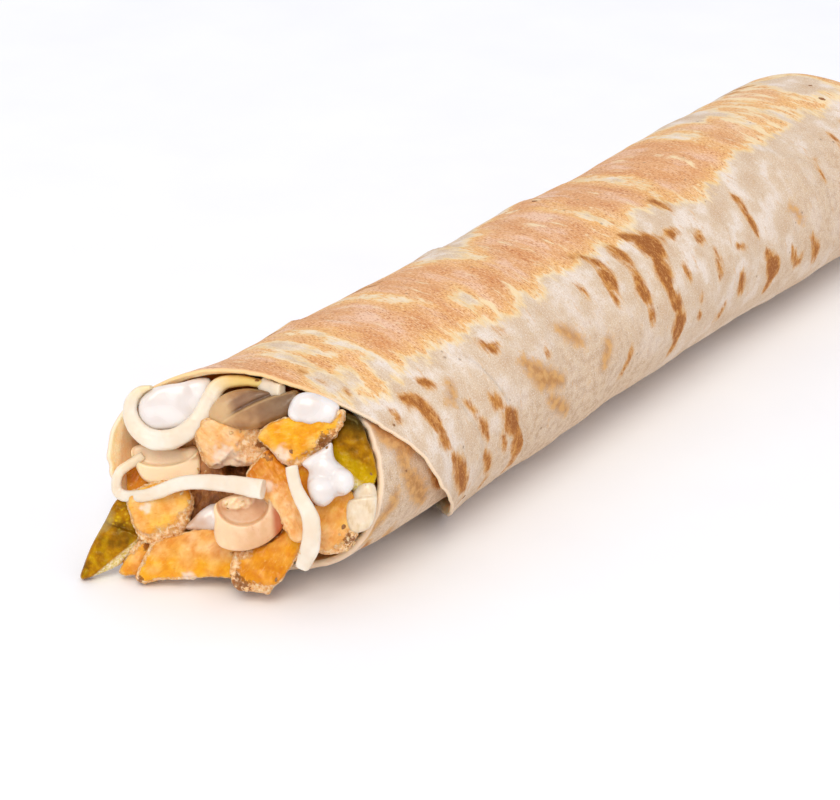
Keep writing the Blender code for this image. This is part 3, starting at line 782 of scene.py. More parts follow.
def pressed_inside(points, slack=0.25):
    """Pulls what sticks out of the sheet's inner face back to it, and lifts what would be in the table."""
    x, y, z = points.T
    up = z - ROLL_HEIGHT / 2
    angle = np.degrees(np.arctan2(up / ROLL_HEIGHT, x / ROLL_WIDTH))
    limit, rim = inner_wall(angle, y)
    limit = limit - slack
    n = ROLL_SQUARENESS
    half_width, half_height = ROLL_WIDTH / 2 + limit, ROLL_HEIGHT / 2 + limit
    size = (np.abs(x / half_width) ** n + np.abs(up / half_height) ** n) ** (1 / n)
    squeeze = 1 / np.maximum(size, 1)
    held = smoothstep(-1.5, 0.5, y - rim)
    squeeze = 1 + (squeeze - 1) * held
    kept = np.stack([x * squeeze, y, ROLL_HEIGHT / 2 + up * squeeze], axis=-1)
    on_layers = (LAYER_STEP + SHEET + 0.3) * held * smoothstep(-30, -60, angle)
    kept[:, 2] = np.maximum(kept[:, 2], 0.15 + on_layers * smoothstep(-150, -120, angle))
    return kept


far_right = pressed_inside(np.array([(99.0, 0.0, ROLL_HEIGHT / 2)]))[0, 0]
print("filling may reach", round(float(far_right), 1), "mm to the right at mid-length")

# %% Skin of a piece
class Skin:
    """A piece of food as an even skin of points, and the moves that shape it."""

    def __init__(self, node, name, slot, thing, middle, voxel, smooth):
        self.node, self.slot, self.thing, self.outline = node, slot, thing, None
        self.thing.name, self.middle = name, middle
        self.remesh(voxel, smooth)

    def remesh(self, voxel, smooth=0):
        skin = self.thing.modifiers.new("even_skin", "REMESH")
        skin.mode, skin.voxel_size, skin.use_smooth_shade = "VOXEL", voxel * MM, True
        if smooth:
            ease = self.thing.modifiers.new("ease", "SMOOTH")
            ease.factor, ease.iterations = 0.5, smooth
        apply_modifiers(self.thing)
        self.read()

    def read(self):
        mesh = self.thing.data
        flat = np.empty(len(mesh.vertices) * 3)
        mesh.vertices.foreach_get("co", flat)
        self.points = flat.reshape(-1, 3) / MM
        normals = np.empty(len(mesh.vertices) * 3)
        mesh.vertex_normals.foreach_get("vector", normals)
        self.normals = normals.reshape(-1, 3)
        self.u, self.v, self.w = ((self.points - self.middle) @ VIEW).T
        self.facing = self.normals @ VIEW[:, 2]

    def write(self, points):
        self.thing.data.vertices.foreach_set("co", (points * MM).ravel())
        self.thing.data.update()
        self.read()

    def move(self, u=0.0, v=0.0, w=0.0):
        shift = np.stack([np.zeros_like(self.u) + s for s in (u, v, w)], axis=-1)
        self.write(self.points + shift @ VIEW.T)

    def swell(self, height):
        """Moves the skin along its normals."""
        self.write(self.points + self.normals * np.asarray(height)[..., None])

    def press(self):
        self.write(pressed_inside(self.points))


print("the view's right, up and towards the eye:", VIEW.T.round(2).tolist())

# %% Places on a piece
def turned(u, v, degrees):
    """u and v along axes that are turned by an angle."""
    c, s = math.cos(math.radians(degrees)), math.sin(math.radians(degrees))
    return c * u + s * v, -s * u + c * v


class Carving(Skin):
    """A skin with words for where its points lie, and for what its finish has to know."""

    def noise(self, size, seed=0, stretch=(1, 1, 1)):
        """Noise over the piece; stretch is along u, v and w."""
        return noise_field(np.stack([self.u, self.v, self.w], axis=-1) / np.array(stretch), size, seed)

    def comb(self, turn):
        """Places for fibres that run at an angle on the front, four times as long as they are wide."""
        along, across = turned(self.u, self.v, turn)
        return np.stack([along * 0.25, across, self.w], axis=-1)

    def crumbs(self, size, seed=0):
        """Distance to the nearest of many scattered points, 0 at a crumb's middle."""
        shift = Vector((seed * 1.7, seed * 2.3, seed * 0.9))
        return np.array([noise.voronoi(Vector(p) / size + shift)[0][0] for p in self.points.tolist()])

    def spot(self, place, wide, high, turn=0.0):
        """0 at the middle of an oval on the enlarged picture, 1 on its rim, more outside."""
        du, dv = self.where(place)
        across, up = turned(self.u - du, self.v - dv, turn)
        return np.hypot(across / (wide / PER_MM), up / (high / PER_MM))

    def where(self, place):
        """A place of the enlarged picture as u and v."""
        toward = float((self.middle - MOUTH_MIDDLE) @ VIEW[:, 2])
        point = (seen(place, toward) - self.middle) @ VIEW
        return point[0], point[1]

    def beside(self, start, end):
        """How far each point is to the left of the line from one place to another, in mm."""
        (u0, v0), (u1, v1) = self.where(start), self.where(end)
        length = math.hypot(u1 - u0, v1 - v0)
        return ((u1 - u0) * (self.v - v0) - (v1 - v0) * (self.u - u0)) / length

    def edge(self):
        """How far each point is inside the outline, in mm."""
        here = np.stack([self.u, self.v], axis=-1)
        best = np.full(len(here), 99.0)
        for a, b in zip(self.outline, np.roll(self.outline, -1, axis=0)):
            t = np.clip(((here - a) @ (b - a)) / max(float((b - a) @ (b - a)), 1e-9), 0, 1)
            best = np.minimum(best, np.linalg.norm(here - (a + t[:, None] * (b - a)), axis=-1))
        return best

    def tell(self, name, values):
        set_attribute(self.thing, name, np.zeros_like(self.u) + values)

    def done(self, material):
        self.thing.data.shade_smooth()
        dress(self.thing, material)
        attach(self.thing, "root")
        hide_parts(self.node)
        faces = sum(len(p.vertices) - 2 for p in self.thing.data.polygons)
        print(f"{self.thing.name}: {faces} triangles")


print("words for places:", ", ".join(w for w in vars(Carving) if not w.startswith("_")))

# %% [markdown]
# ## Two ways to start
# What shows at the mouth starts from an outline: five rings of it, one behind the other, make a block
# with a rounded front edge and sides that draw in towards the back. What hides behind the others starts
# from the plain CAD piece, since nobody sees more of it than a gap.

# %% Blocks and copies
BLOCK_VOXEL = 0.32


def cad_copy(node, name, slot, voxel, smooth):
    """A finer copy of a CAD piece, for what hides behind the others."""
    thing = add_object(name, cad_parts[node].data.copy())
    thing.data.materials.clear()
    low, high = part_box(node)
    return Carving(node, name, slot, thing, np.array((low + high) / 2) / MM, voxel, smooth)


def block(node, name, slot, outline, front, depth=9.0, rounded=1.0, taper=1.2, tilt=(0.0, 0.0), smooth=3):
    """A block with an outline on the enlarged picture. tilt is its front's lean per mm, along u and v."""
    loop = smooth_path(outline, 5, closed=True)
    centre = loop.mean(axis=0)
    along = np.roll(loop, -1, axis=0) - np.roll(loop, 1, axis=0)
    inward = np.stack([-along[:, 1], along[:, 0]], axis=-1)
    inward /= np.linalg.norm(inward, axis=-1)[:, None]
    if ((loop + inward - centre) ** 2).sum() > ((loop - centre) ** 2).sum():
        inward = -inward
    shape = bmesh.new()
    rings = []
    sections = ((depth, taper), (depth * 0.5, 0.2 * taper), (rounded, 0), (0.3 * rounded, 0.3 * rounded),
                (0, rounded))
    for back, inset in sections:
        places = loop + inward * inset * PER_MM
        lean = ((places - centre) * (1, -1)) @ np.array(tilt) / PER_MM
        rings.append([shape.verts.new(seen(p, front - back + l)) for p, l in zip(places, lean)])
    count = len(loop)
    for near, far in zip(rings, rings[1:]):
        for k in range(count):
            shape.faces.new((near[k], near[(k + 1) % count], far[(k + 1) % count], far[k]))
    shape.faces.new(rings[0])
    shape.faces.new(rings[-1])
    bmesh.ops.recalc_face_normals(shape, faces=shape.faces)
    bmesh.ops.triangulate(shape, faces=shape.faces)
    bmesh.ops.scale(shape, vec=(MM, MM, MM), verts=shape.verts)
    mesh = bpy.data.meshes.new(name)
    shape.to_mesh(mesh)
    shape.free()
    middle = seen(centre, front)
    carving = Carving(node, name, slot, add_object(name, mesh), middle, BLOCK_VOXEL, smooth)
    carving.outline = np.array([(seen(p, front) - middle) @ VIEW[:, :2] for p in loop])
    return carving


print("a block's skin has faces of", BLOCK_VOXEL, "mm")

# %% [markdown]
# ## Grilled chicken
# The chicken is cut across after grilling: each chunk shows a smooth, moist, golden cut with faint
# fibres, and a crumbly browned crust on the sides that met the pan. So each chunk is told where its crust
# lies. The cut is flattened and combed, and the crust is broken up with crumbs that stand out of it.

# %% Chicken finish
def chicken_finish():
    f = Finish("grilled_chicken", soft=0.3, soft_tint=(1.0, 0.6, 0.3), coat=0.2, coat_roughness=0.12,
               shine=0.3, shine_tint=(1.0, 0.75, 0.35))
    spot, comb = f.place(), f.place(attribute="comb")
    wide, strands = f.noise(spot, 2.8, detail=3), f.noise(comb, 0.6, detail=4, rough=0.6)
    crumb = f.noise(spot, 0.95, detail=5, rough=0.72)
    golden = f.ramp(wide, (0.34, (230, 146, 10)), (0.5, (238, 166, 22)), (0.66, (242, 184, 52)))
    peach = f.ramp(wide, (0.34, (232, 164, 92)), (0.5, (238, 184, 122)), (0.66, (242, 202, 152)))
    orange = f.ramp(wide, (0.34, (202, 112, 6)), (0.6, (222, 140, 10)))
    flesh = f.blend(f.attribute("tone"), golden, peach)
    # deep is a deep orange tone, and partly painted shade on chicken_far_left and chicken_center's top
    flesh = f.blend(f.attribute("deep"), flesh, orange)
    flesh = f.over(flesh, (246, 208, 128), strands, 0.54, 0.72, 0.35)
    flesh = f.over(flesh, (206, 114, 16), strands, 0.46, 0.3, 0.35)
    flesh = f.blend(f.times(f.attribute("pale"), 0.85), flesh, (238, 216, 196))
    crust = f.ramp(crumb, (0.3, (172, 98, 40)), (0.39, (220, 152, 84)), (0.5, (240, 190, 132)),
                   (0.62, (248, 218, 180)))
    crust = f.blend(f.times(f.attribute("pale"), 0.7), crust, (250, 226, 202))
    fray = f.plus(f.attribute("crust"), f.centred(crumb, 1.6))
    colour = f.over(flesh, crust, fray, 0.3, 0.7)
    # char marks burnt places, and on chicken_center painted shadow in the hollow beside chicken_mid
    burnt = f.plus(f.attribute("char"), f.centred(crumb, -3.0))
    colour = f.over(colour, (130, 66, 20), burnt, 0.55, 0.95, 0.8)
    height = f.plus(f.times(strands, 0.6), f.times(crumb, f.steps(fray, 0.3, 0.7, (0.15, 1))))
    rough = f.steps(fray, 0.3, 0.7, (0.3, 0.6))
    return f.wear(colour=colour, roughness=rough, normal=f.relief(height, 0.35))


CHICKEN = chicken_finish()
print("chicken finish:", len(CHICKEN.node_tree.nodes), "nodes")

# %% Places of the chunks
# Each chunk has its outline, how far its front lies towards the eye, its depth and its tilt. lie and band
# are the side where its crust lies, as right and up, and how many mm the crust reaches in. tone goes from
# golden at 0 to peach at 1, and deep to a deep orange, each at the bottom and at the top; the deep orange
# is partly painted shade on chicken_far_left and at the top of chicken_center. comb is the way its fibres
# run, in degrees. char and pale are a burnt and a pale place, each with a radius; on chicken_center the
# char place is painted shadow in the hollow beside chicken_mid.
CHUNKS = {
    "chicken_bottom_left": dict(
        outline=[(284, 990), (310, 930), (338, 868), (380, 828), (470, 806), (560, 780), (650, 790),
                 (722, 850), (730, 905), (716, 985), (600, 990), (480, 1001), (380, 1004), (322, 1019)],
        front=-5.0, depth=8, tilt=(0.16, 0.25), lie=(-0.9, -0.6), band=1.0, tone=(0.0, 0.7),
        deep=(-0.3, 0.35), comb=38, char=(300, 1005, 26), pale=(520, 1000, 40)),
    "chicken_bottom_center": dict(
        outline=[(700, 1000), (697, 955), (706, 905), (722, 880), (790, 862), (860, 840), (935, 780),
                 (985, 750), (1016, 800), (1010, 850), (985, 905), (955, 955), (925, 1000), (905, 1018),
                 (880, 1045), (866, 1068), (835, 1060), (785, 1052), (738, 1050), (712, 1030)],
        front=3.5, depth=9, tilt=(0.1, 0.1), lie=(-0.95, -0.45), band=3.4, tone=(-0.1, 0.25),
        deep=(0.75, 0.4), comb=62, char=(735, 1015, 55)),
    "chicken_scrap_left": dict(
        outline=[(217, 975), (216, 950), (245, 905), (283, 850), (318, 816), (370, 840), (356, 900),
                 (318, 950), (300, 974), (245, 986)],
        front=-9.5, depth=6, tilt=(0.1, 0.1), lie=(0.6, 0.8), band=2.2, tone=(0.1, 0.4), deep=(-0.1, 0.1),
        comb=50, char=(340, 850, 30)),
    "chicken_lower_left": dict(
        outline=[(246, 640), (258, 715), (283, 785), (322, 836), (375, 851), (435, 848), (482, 818),
                 (506, 776), (530, 715), (536, 650), (505, 592), (420, 570), (320, 590)],
        front=-5.5, depth=10, tilt=(0.12, 0.05), lie=(0.45, -0.9), band=5.4, tone=(0.5, 0.4),
        deep=(0.0, -0.3), comb=15, pale=(330, 690, 26)),
    "chicken_center": dict(
        outline=[(765, 545), (812, 480), (850, 435), (880, 440), (912, 480), (950, 525), (975, 600),
                 (1000, 660), (1025, 720), (1030, 790), (1005, 840), (960, 822), (925, 750), (890, 695),
                 (845, 655), (795, 615)],
        front=6.5, depth=8, tilt=(0.0, -0.25), lie=(-1.0, 0.0), band=0.5, tone=(1.2, 0.4),
        # painted shadow: char and the deep top stand for the shade in the hollow beside chicken_mid
        deep=(-0.9, 0.85), comb=-62, char=(862, 462, 34), pale=(870, 590, 30)),
    "chicken_top": dict(
        outline=[(815, 385), (845, 335), (900, 305), (960, 290), (1050, 290), (1130, 285), (1178, 262),
                 (1200, 285), (1180, 345), (1136, 402), (1086, 445), (1036, 485), (990, 514), (945, 505),
                 (900, 470), (862, 425)],
        front=8.5, depth=9, tilt=(0.2, 0.1), lie=(0.75, -0.7), band=2.8, tone=(0.1, 0.0), deep=(-0.3, -0.2),
        comb=12, char=(1120, 400, 60), pale=(912, 466, 50)),
    "chicken_mid": dict(
        outline=[(540, 350), (550, 410), (578, 478), (616, 516), (700, 507), (770, 508), (822, 486),
                 (856, 444), (876, 408), (856, 350), (800, 326), (700, 314), (588, 296)],
        front=0.3, depth=9, tilt=(0.15, 0.05), lie=(0.75, -0.66), band=8.0, tone=(1.2, 1.0),
        deep=(-0.5, -0.2), comb=-40, char=(835, 412, 34), pale=(690, 488, 88)),
    "chicken_right_low": dict(
        outline=[(1055, 700), (1092, 655), (1160, 615), (1225, 612), (1250, 680), (1256, 760),
                 (1248, 815), (1216, 862), (1170, 886), (1110, 890), (1065, 870), (1055, 780)],
        front=7.0, depth=10, tilt=(0.1, 0.1), lie=(0.8, -0.6), band=2.8, tone=(0.8, 0.5), deep=(-0.1, 0.45),
        comb=60, char=(1215, 830, 42)),
    "chicken_far_left": dict(
        outline=[(222, 560), (258, 500), (330, 470), (400, 500), (420, 600), (350, 640), (250, 630)],
        # painted shade: deep stands in for the shade this chunk lies in
        front=-13.5, depth=6, tilt=(0.2, 0.0), lie=(0.0, -1.0), band=0.3, tone=(0.1, 0.1), deep=(0.5, 0.7),
        comb=40),
    "chicken_behind": dict(
        outline=[(840, 640), (900, 560), (960, 490), (1050, 470), (1080, 540), (1070, 640), (1075, 760),
                 (1085, 860), (1020, 900), (930, 860), (850, 780)],
        front=2.5, depth=7, tilt=(0.2, 0.2), lie=(0.0, -1.0), band=0.3, tone=(0.2, 0.0), deep=(0.5, 0.9),
        comb=80),
}
print("chunks of chicken:", len(CHUNKS))

# %% Carve the chunks
def crust_band(c, lie, band, seed):
    """How far each point is into the crust, from 0 at its inner limit to 1 at the outline."""
    toward_crust = (c.u * lie[0] + c.v * lie[1]) / (np.maximum(np.hypot(c.u, c.v), 0.5) * math.hypot(*lie))
    width = band * (smoothstep(-0.1, 0.65, toward_crust) + 0.12) * (1 + 0.8 * c.noise(2.4, seed + 40))
    return np.clip(1 - c.edge() / np.maximum(width, 0.2), 0, 1)


def near_place(c, place, seed):
    """1 at a place of the picture, 0 beyond its radius, with a ragged limit."""
    if not place:
        return 0.0
    x, y, radius = place
    return smoothstep(1.25, 0.35, c.spot((x, y), radius, radius) + 0.6 * c.noise(1.2, seed))


def carve_chunk(seed, node, outline, front, depth, tilt, lie, band, tone, deep, comb, char=None, pale=None):
    c = block(node, "grilled_" + node, "chicken", outline, front, depth, rounded=1.0, taper=1.6, tilt=tilt)
    slope = crust_band(c, lie, band, seed)
    in_front = smoothstep(-0.45 * depth, -0.1 * depth, c.w)
    c.move(w=-0.5 * min(band, 2.5) * slope**1.5 * in_front)
    fibres = noise_field(c.comb(comb), 0.9, seed)
    c.move(w=(0.95 * c.noise(3.8, seed) + 0.18 * fibres) * in_front)
    crust = np.maximum(smoothstep(0.0, 0.3, slope) * in_front, smoothstep(0.35, -0.1, c.facing) * 0.8)
    grains = np.clip(0.55 - c.crumbs(0.95, seed), -0.3, 0.6)
    c.swell(crust * (0.7 * grains + 0.5 * c.noise(1.3, seed + 20)) + 0.15 * c.noise(0.9, seed + 30))
    c.remesh(0.3)
    c.press()
    in_front = smoothstep(-0.6 * depth, -0.3 * depth, c.w)
    flank = smoothstep(-0.45 * depth, -0.6 * depth, c.w) * 0.8
    c.tell("crust", np.maximum(crust_band(c, lie, band, seed) * 1.1 * in_front, flank))
    rise = smoothstep(-6, 6, c.v)
    c.tell("tone", np.clip(tone[0] * (1 - rise) + tone[1] * rise + 0.6 * c.noise(3.4, seed + 60), 0, 1))
    # deep is partly painted shade, and char on chicken_center painted shadow, as CHUNKS sets them
    c.tell("deep", np.clip(deep[0] * (1 - rise) + deep[1] * rise + 0.5 * c.noise(3.2, seed + 70), 0, 1))
    c.tell("char", near_place(c, char, seed + 80))
    c.tell("pale", near_place(c, pale, seed + 90))
    set_attribute(c.thing, "comb", c.comb(comb))
    c.done(CHICKEN)


for seed, (node, form) in enumerate(CHUNKS.items()):
    carve_chunk(seed, node, **form)

# %% [markdown]
# ## Dark meat and the packed filling behind
# Between the chunks that show lies darker, shredded meat, and behind them all the filling is packed
# through the whole roll. Both are made like the crust, only rougher and darker, since nothing behind the
# mouth needs a clean cut.

# %% Dark meat and core
def dark_finish(name, low, mid, high):
    f = Finish(name, soft=0.15, soft_depth=1.2, coat=0.25, coat_roughness=0.3)
    shreds = f.noise(f.place(stretch=(1, 1, 0.5)), 1.1, detail=5, rough=0.7)
    colour = f.ramp(shreds, (0.3, low), (0.5, mid), (0.72, high))
    colour = f.blend(f.attribute("light"), colour, (222, 158, 100))
    return f.wear_grain(colour, shreds, (0.35, 0.65), 0.5)


DARK_OUTLINE = [(495, 770), (505, 650), (530, 560), (535, 450), (560, 380), (620, 380), (650, 500),
                (760, 510), (850, 545), (860, 640), (760, 665), (690, 640), (640, 672), (580, 700),
                (540, 745)]
meat = block("dark_chicken", "dark_meat", "dark_chicken", DARK_OUTLINE, -7.0, tilt=(0.35, 0.0))
meat.swell(0.5 * meat.noise(1.8, 5) + 0.6 * (0.5 - meat.crumbs(1.2, 6)))
meat.move(w=-4.5 * smoothstep(1.3, 0.6, meat.spot((735, 522), 62, 34)))
breast = meat.spot((572, 455), 38, 85) + 0.4 * meat.noise(1.5, 8)
meat.tell("light", 0.75 * smoothstep(1.3, 0.5, breast))
meat.press()
meat.done(dark_finish("browned_meat", (112, 62, 16), (166, 100, 38), (210, 150, 86)))

CORE_BACK = 4.5  # mm from the mouth to the front of the packed filling
core = cad_copy("filling_core", "packed_filling", "filling", voxel=1.3, smooth=3)
core.swell(0.9 * core.noise(4.5, 7) + 0.5 * (0.5 - core.crumbs(3.0, 8)) - 0.5)
set_back = np.maximum(MOUTH_Y + CORE_BACK + 1.2 * core.noise(6, 9) - core.points[:, 1], 0)
core.write(core.points + set_back[:, None] * (0, 1, 0))
core.done(dark_finish("packed_filling", (150, 92, 44), (200, 138, 76), (226, 176, 116)))

# %% [markdown]
# ## Mushroom
# The mushroom is sliced and fried soft: smooth, waxy and slightly see-through, beige where it was cut,
# with a thin paler rim, and one slice greyer with its gills showing as a groove. Each beige slice curls
# round a hollow, which is an oval pushed back from the front, so that its lower wall stands like the rim
# of a cup.

# %% Mushroom finish
def mushroom_finish(name, low, mid, high, stain, pale):
    f = Finish(name, soft=0.5, coat=0.25, coat_roughness=0.25)
    spot = f.place()
    wide, fine = f.noise(spot, 4, detail=2), f.noise(spot, 0.6, detail=4)
    colour = f.ramp(wide, (0.3, low), (0.5, mid), (0.7, high))
    colour = f.over(colour, stain, fine, 0.56, 0.8, 0.3)
    colour = f.blend(f.attribute("stain"), colour, stain)
    colour = f.blend(f.attribute("shadow"), colour, (100, 74, 48))
    colour = f.blend(f.attribute("pale"), colour, pale)
    return f.wear_grain(colour, fine, (0.32, 0.46), 0.08)


BEIGE = mushroom_finish("fried_mushroom", (212, 160, 110), (222, 176, 130), (230, 194, 154), (180, 84, 8),
                        (255, 224, 184))
GREY = mushroom_finish("grey_mushroom", (150, 104, 58), (172, 126, 78), (192, 150, 100), (124, 90, 68),
                       (216, 180, 130))
print("mushroom finishes:", BEIGE.name, "and", GREY.name)

# %% Slice in the middle, with its stem
CUP_HOLLOW, CUP_STEM = ((752, 672), 112, 92), ((726, 664), 74, 34, 8)  # ovals: place, half sizes, turn


def hollow(c, oval, drop):
    """Pushes an oval of the front back."""
    c.move(w=-drop * smoothstep(1.03, 0.93, c.spot(*oval)) * smoothstep(-6, -3, c.w))


CUP_OUTLINE = [(627, 676), (630, 740), (627, 800), (648, 852), (705, 874), (770, 874), (840, 851),
               (897, 810), (933, 765), (926, 712), (895, 668), (850, 630), (760, 622), (680, 640)]
cup = block("mushroom_center", "fried_mushroom_center", "mushroom", CUP_OUTLINE, 7.0, depth=9,
            rounded=0.8, smooth=4)
hollow(cup, CUP_HOLLOW, 2.4)
stem = smoothstep(1.1, 0.6, cup.spot(*CUP_STEM))
cup.move(w=(1.5 + 1.6 * cup.noise(1.5, 6) + 0.8 * cup.noise(0.7, 7)) * stem)
cup.remesh(0.3, 3)
cup.move(w=0.12 * cup.noise(3.5, 3))
cup.press()
sunk = smoothstep(1.0, 0.9, cup.spot(*CUP_HOLLOW))
stem = smoothstep(1.1, 0.8, cup.spot(*CUP_STEM) + 0.25 * cup.noise(1.2, 9))
flank = smoothstep(0.0, 1.6, -cup.beside((884, 900), (858, 600)))
browned = 0.15 * sunk * (1 - stem) + 0.95 * flank + 0.8 * stem * smoothstep(0.2, 0.4, cup.noise(0.8, 4))
cup.tell("stain", np.clip(browned, 0, 1))
wall = smoothstep(0.98, 1.1, cup.spot(*CUP_HOLLOW)) * smoothstep(2.5, -5, cup.u)
cup.tell("pale", np.clip(0.8 * stem + 0.5 * wall, 0, 1) * (1 - flank))
cup.done(BEIGE)

# %% Slice on the left
CURL_HOLLOW = ((412, 432), 150, 74, 6)
CURL_OUTLINE = [(264, 440), (300, 412), (400, 420), (480, 428), (545, 416), (562, 442), (570, 500),
                (560, 548), (520, 572), (440, 588), (360, 584), (314, 560), (284, 505)]
curl = block("mushroom_left", "fried_mushroom_left", "mushroom", CURL_OUTLINE, -8.0, depth=8, rounded=0.8,
             tilt=(0.12, 0.0), smooth=4)
hollow(curl, CURL_HOLLOW, 1.5)
curl.move(w=1.3 * smoothstep(1.1, 0.5, curl.spot((528, 448), 42, 32)))
curl.remesh(0.3, 3)
curl.move(w=0.12 * curl.noise(3.5, 5))
curl.press()
curl.tell("stain", 0.0)
# painted light: the whole slice is made paler to stand in for the light on it, and paler still outside its
# hollow
curl.tell("pale", 0.8 + 0.1 * smoothstep(0.9, 1.05, curl.spot(*CURL_HOLLOW)))
curl.done(BEIGE)

# %% Grey cap with two lips
def crease(c):
    """How far each point is above the groove between the lips, in mm, and where the groove is open."""
    above = c.beside((672, 284), (868, 196)) + 0.05 * c.u**2 / 4
    return above, smoothstep(0.5, 1.3, c.spot((618, 272), 90, 90))


CAP_OUTLINE = [(604, 292), (618, 240), (670, 192), (750, 168), (830, 172), (905, 190), (985, 172),
               (998, 205), (968, 250), (950, 302), (900, 322), (820, 342), (755, 348), (690, 332),
               (632, 312)]
cap = block("mushroom_top", "fried_mushroom_top", "grey_mushroom", CAP_OUTLINE, 2.8, depth=8, rounded=1.6,
            tilt=(0.25, 0.0), smooth=4)
above, opened = crease(cap)
upper = 0.7 * np.sin(np.pi * np.clip(above / 2.6, 0, 1)) - 0.5
lower = 1.3 * np.sin(np.pi * np.clip(-above / 7.0, 0, 1))
lips = np.where(above > 0, upper, lower) - 1.0 * np.exp(-((above / 0.3) ** 2))
cap.move(w=lips * opened * smoothstep(-5, -2, cap.w))
cap.remesh(0.28, 2)
cap.press()
above, opened = crease(cap)
gills = np.exp(-((above / 0.4) ** 2)) + 0.6 * smoothstep(0, 0.5, above) * smoothstep(3.4, 2.4, above)
lip_edge = np.exp(-(((above + 0.6) / 0.3) ** 2))
cap.tell("stain", np.clip(gills, 0, 1) * opened)
cap.tell("shadow", 0.75 * smoothstep(-5, 8, cap.u + 0.4 * cap.v))
cap.tell("pale", np.clip(0.7 * (1 - opened) + 0.4 * lip_edge, 0, 1))
cap.done(GREY)

# %% [markdown]
# ## Melted cheese
# The cheese was cut into strips and has just gone soft: ivory, smooth and satin, with rounded corners. A
# curve with a bevel would sweep a strip too, but its section would twist. Each strip here is a ribbon
# whose flat side is kept to the eye, and its width changes on the way: it is thin where it was pulled,
# and cut square at its end. The loop's points are places of the picture, and those of the others are
# places in space.

# %% Cheese finish
def cheese_finish():
    f = Finish("soft_cheese", soft=0.5, soft_tint=(1.0, 0.85, 0.65), coat=0.2, coat_roughness=0.3)
    wide, fine = f.noise(f.place(), 6, detail=2), f.noise(f.place(), 1.0, detail=3)
    colour = f.ramp(wide, (0.34, (231, 213, 189)), (0.5, (232, 217, 196)), (0.66, (236, 226, 210)))
    colour = f.blend(f.attribute("oily"), colour, (238, 204, 120))
    return f.wear_grain(colour, fine, (0.34, 0.5), 0.06)


CHEESE = cheese_finish()
print("cheese finish:", len(CHEESE.node_tree.nodes), "nodes")

# %% Places of the strips
def place_of(x, y, toward):
    """A place of the enlarged picture as across, behind the mouth, up."""
    point = seen((x, y), toward)
    return point[0], point[1] - MOUTH_Y, point[2]


LOOP = [  # places of the enlarged picture, and how far towards the eye
    (850, 150, -1.0), (760, 136, -3.2), (690, 138, -4.6), (642, 162, -5.0), (612, 210, -4.4),
    (582, 268, -3.4), (530, 335, -3.0), (450, 386, -3.6), (365, 390, -4.6), (298, 348, -5.4),
    (264, 282, -5.8), (270, 218, -5.4), (306, 178, -4.6), (356, 160, -4.0),
]
STRIPS = {  # points as across, behind the mouth, up; widths at them; thickness; how oily each end is
    "cheese_loop": (
        [place_of(*p) for p in LOOP],
        (2.0, 2.5, 3.2, 4.0, 4.2, 4.3, 4.5, 4.8, 4.9, 4.4, 3.7, 3.1, 2.2, 1.0), 3.2, (1.0, 0.5)),
    "cheese_left": (
        [(-26.2, -3, 28.2), (-29, -8.6, 25), (-28.3, -9.6, 20.2), (-20.4, -9.1, 21.8), (-10.6, -6.3, 26.8),
         (0.3, -4.9, 29.3), (10.8, -3.5, 30.2)],
        (2.2, 2.5, 2.7, 3.1, 3.5, 3.9, 4.9), 2.8, (0.2, 0.0)),
    "cheese_right": (
        [(16.6, -0.3, 36.7), (19.1, -1.4, 31.5), (23.4, -1.9, 25.6), (23.4, -2.3, 18.6), (20.9, -2, 12.5)],
        (2.9, 3.1, 4.1, 4.6, 3.4), 3.0, (0.0, 0.0)),
    "cheese_end": (
        [(4.6, 12, 48.2), (1.5, 12.2, 47.4), (-2.0, 13, 47.7)],
        (3.0, 4.0, 3.4), 2.6, (0.1, 0.3)),
}
print("strips of cheese:", len(STRIPS))

# %% Draw the ribbons
RIBBON_SIDES, RIBBON_SQUARENESS = 20, 3.6


def unit(vectors):
    return vectors / np.linalg.norm(vectors, axis=1)[:, None]


def ribbon(name, points, widths, thickness):
    """A ribbon of changing width along a smooth path in space, flat side to the eye."""
    spine = smooth_path([(x, MOUTH_Y + y, z) for x, y, z in points], 9)
    wide = np.interp(np.linspace(0, 1, len(spine)), np.linspace(0, 1, len(widths)), widths)
    ahead = unit(np.gradient(spine, axis=0))
    side = unit(np.cross(ahead, VIEW[:, 2]))
    front = np.cross(side, ahead)
    sides, n = RIBBON_SIDES, RIBBON_SQUARENESS
    turn = 2 * np.pi * (np.arange(sides) + 0.5) / sides
    reach = (np.abs(np.cos(turn)) ** n + np.abs(np.sin(turn)) ** n) ** (-1 / n)
    across = (np.cos(turn) * reach / 2 * wide[:, None])[..., None]
    deep = (np.sin(turn) * reach / 2 * thickness)[None, :, None]
    rings = spine[:, None] + side[:, None] * across + front[:, None] * deep
    count = len(spine)
    faces = []
    for start in range(0, (count - 1) * sides, sides):
        for k in range(sides):
            after = (k + 1) % sides
            faces.append((start + k, start + after, start + sides + after, start + sides + k))
    faces += [tuple(range(sides))[::-1], tuple((count - 1) * sides + k for k in range(sides))]
    thing = mesh_object(name, rings.reshape(-1, 3), faces)
    shape = bmesh.new()
    shape.from_mesh(thing.data)
    bmesh.ops.recalc_face_normals(shape, faces=shape.faces)
    shape.to_mesh(thing.data)
    shape.free()
    return thing, spine


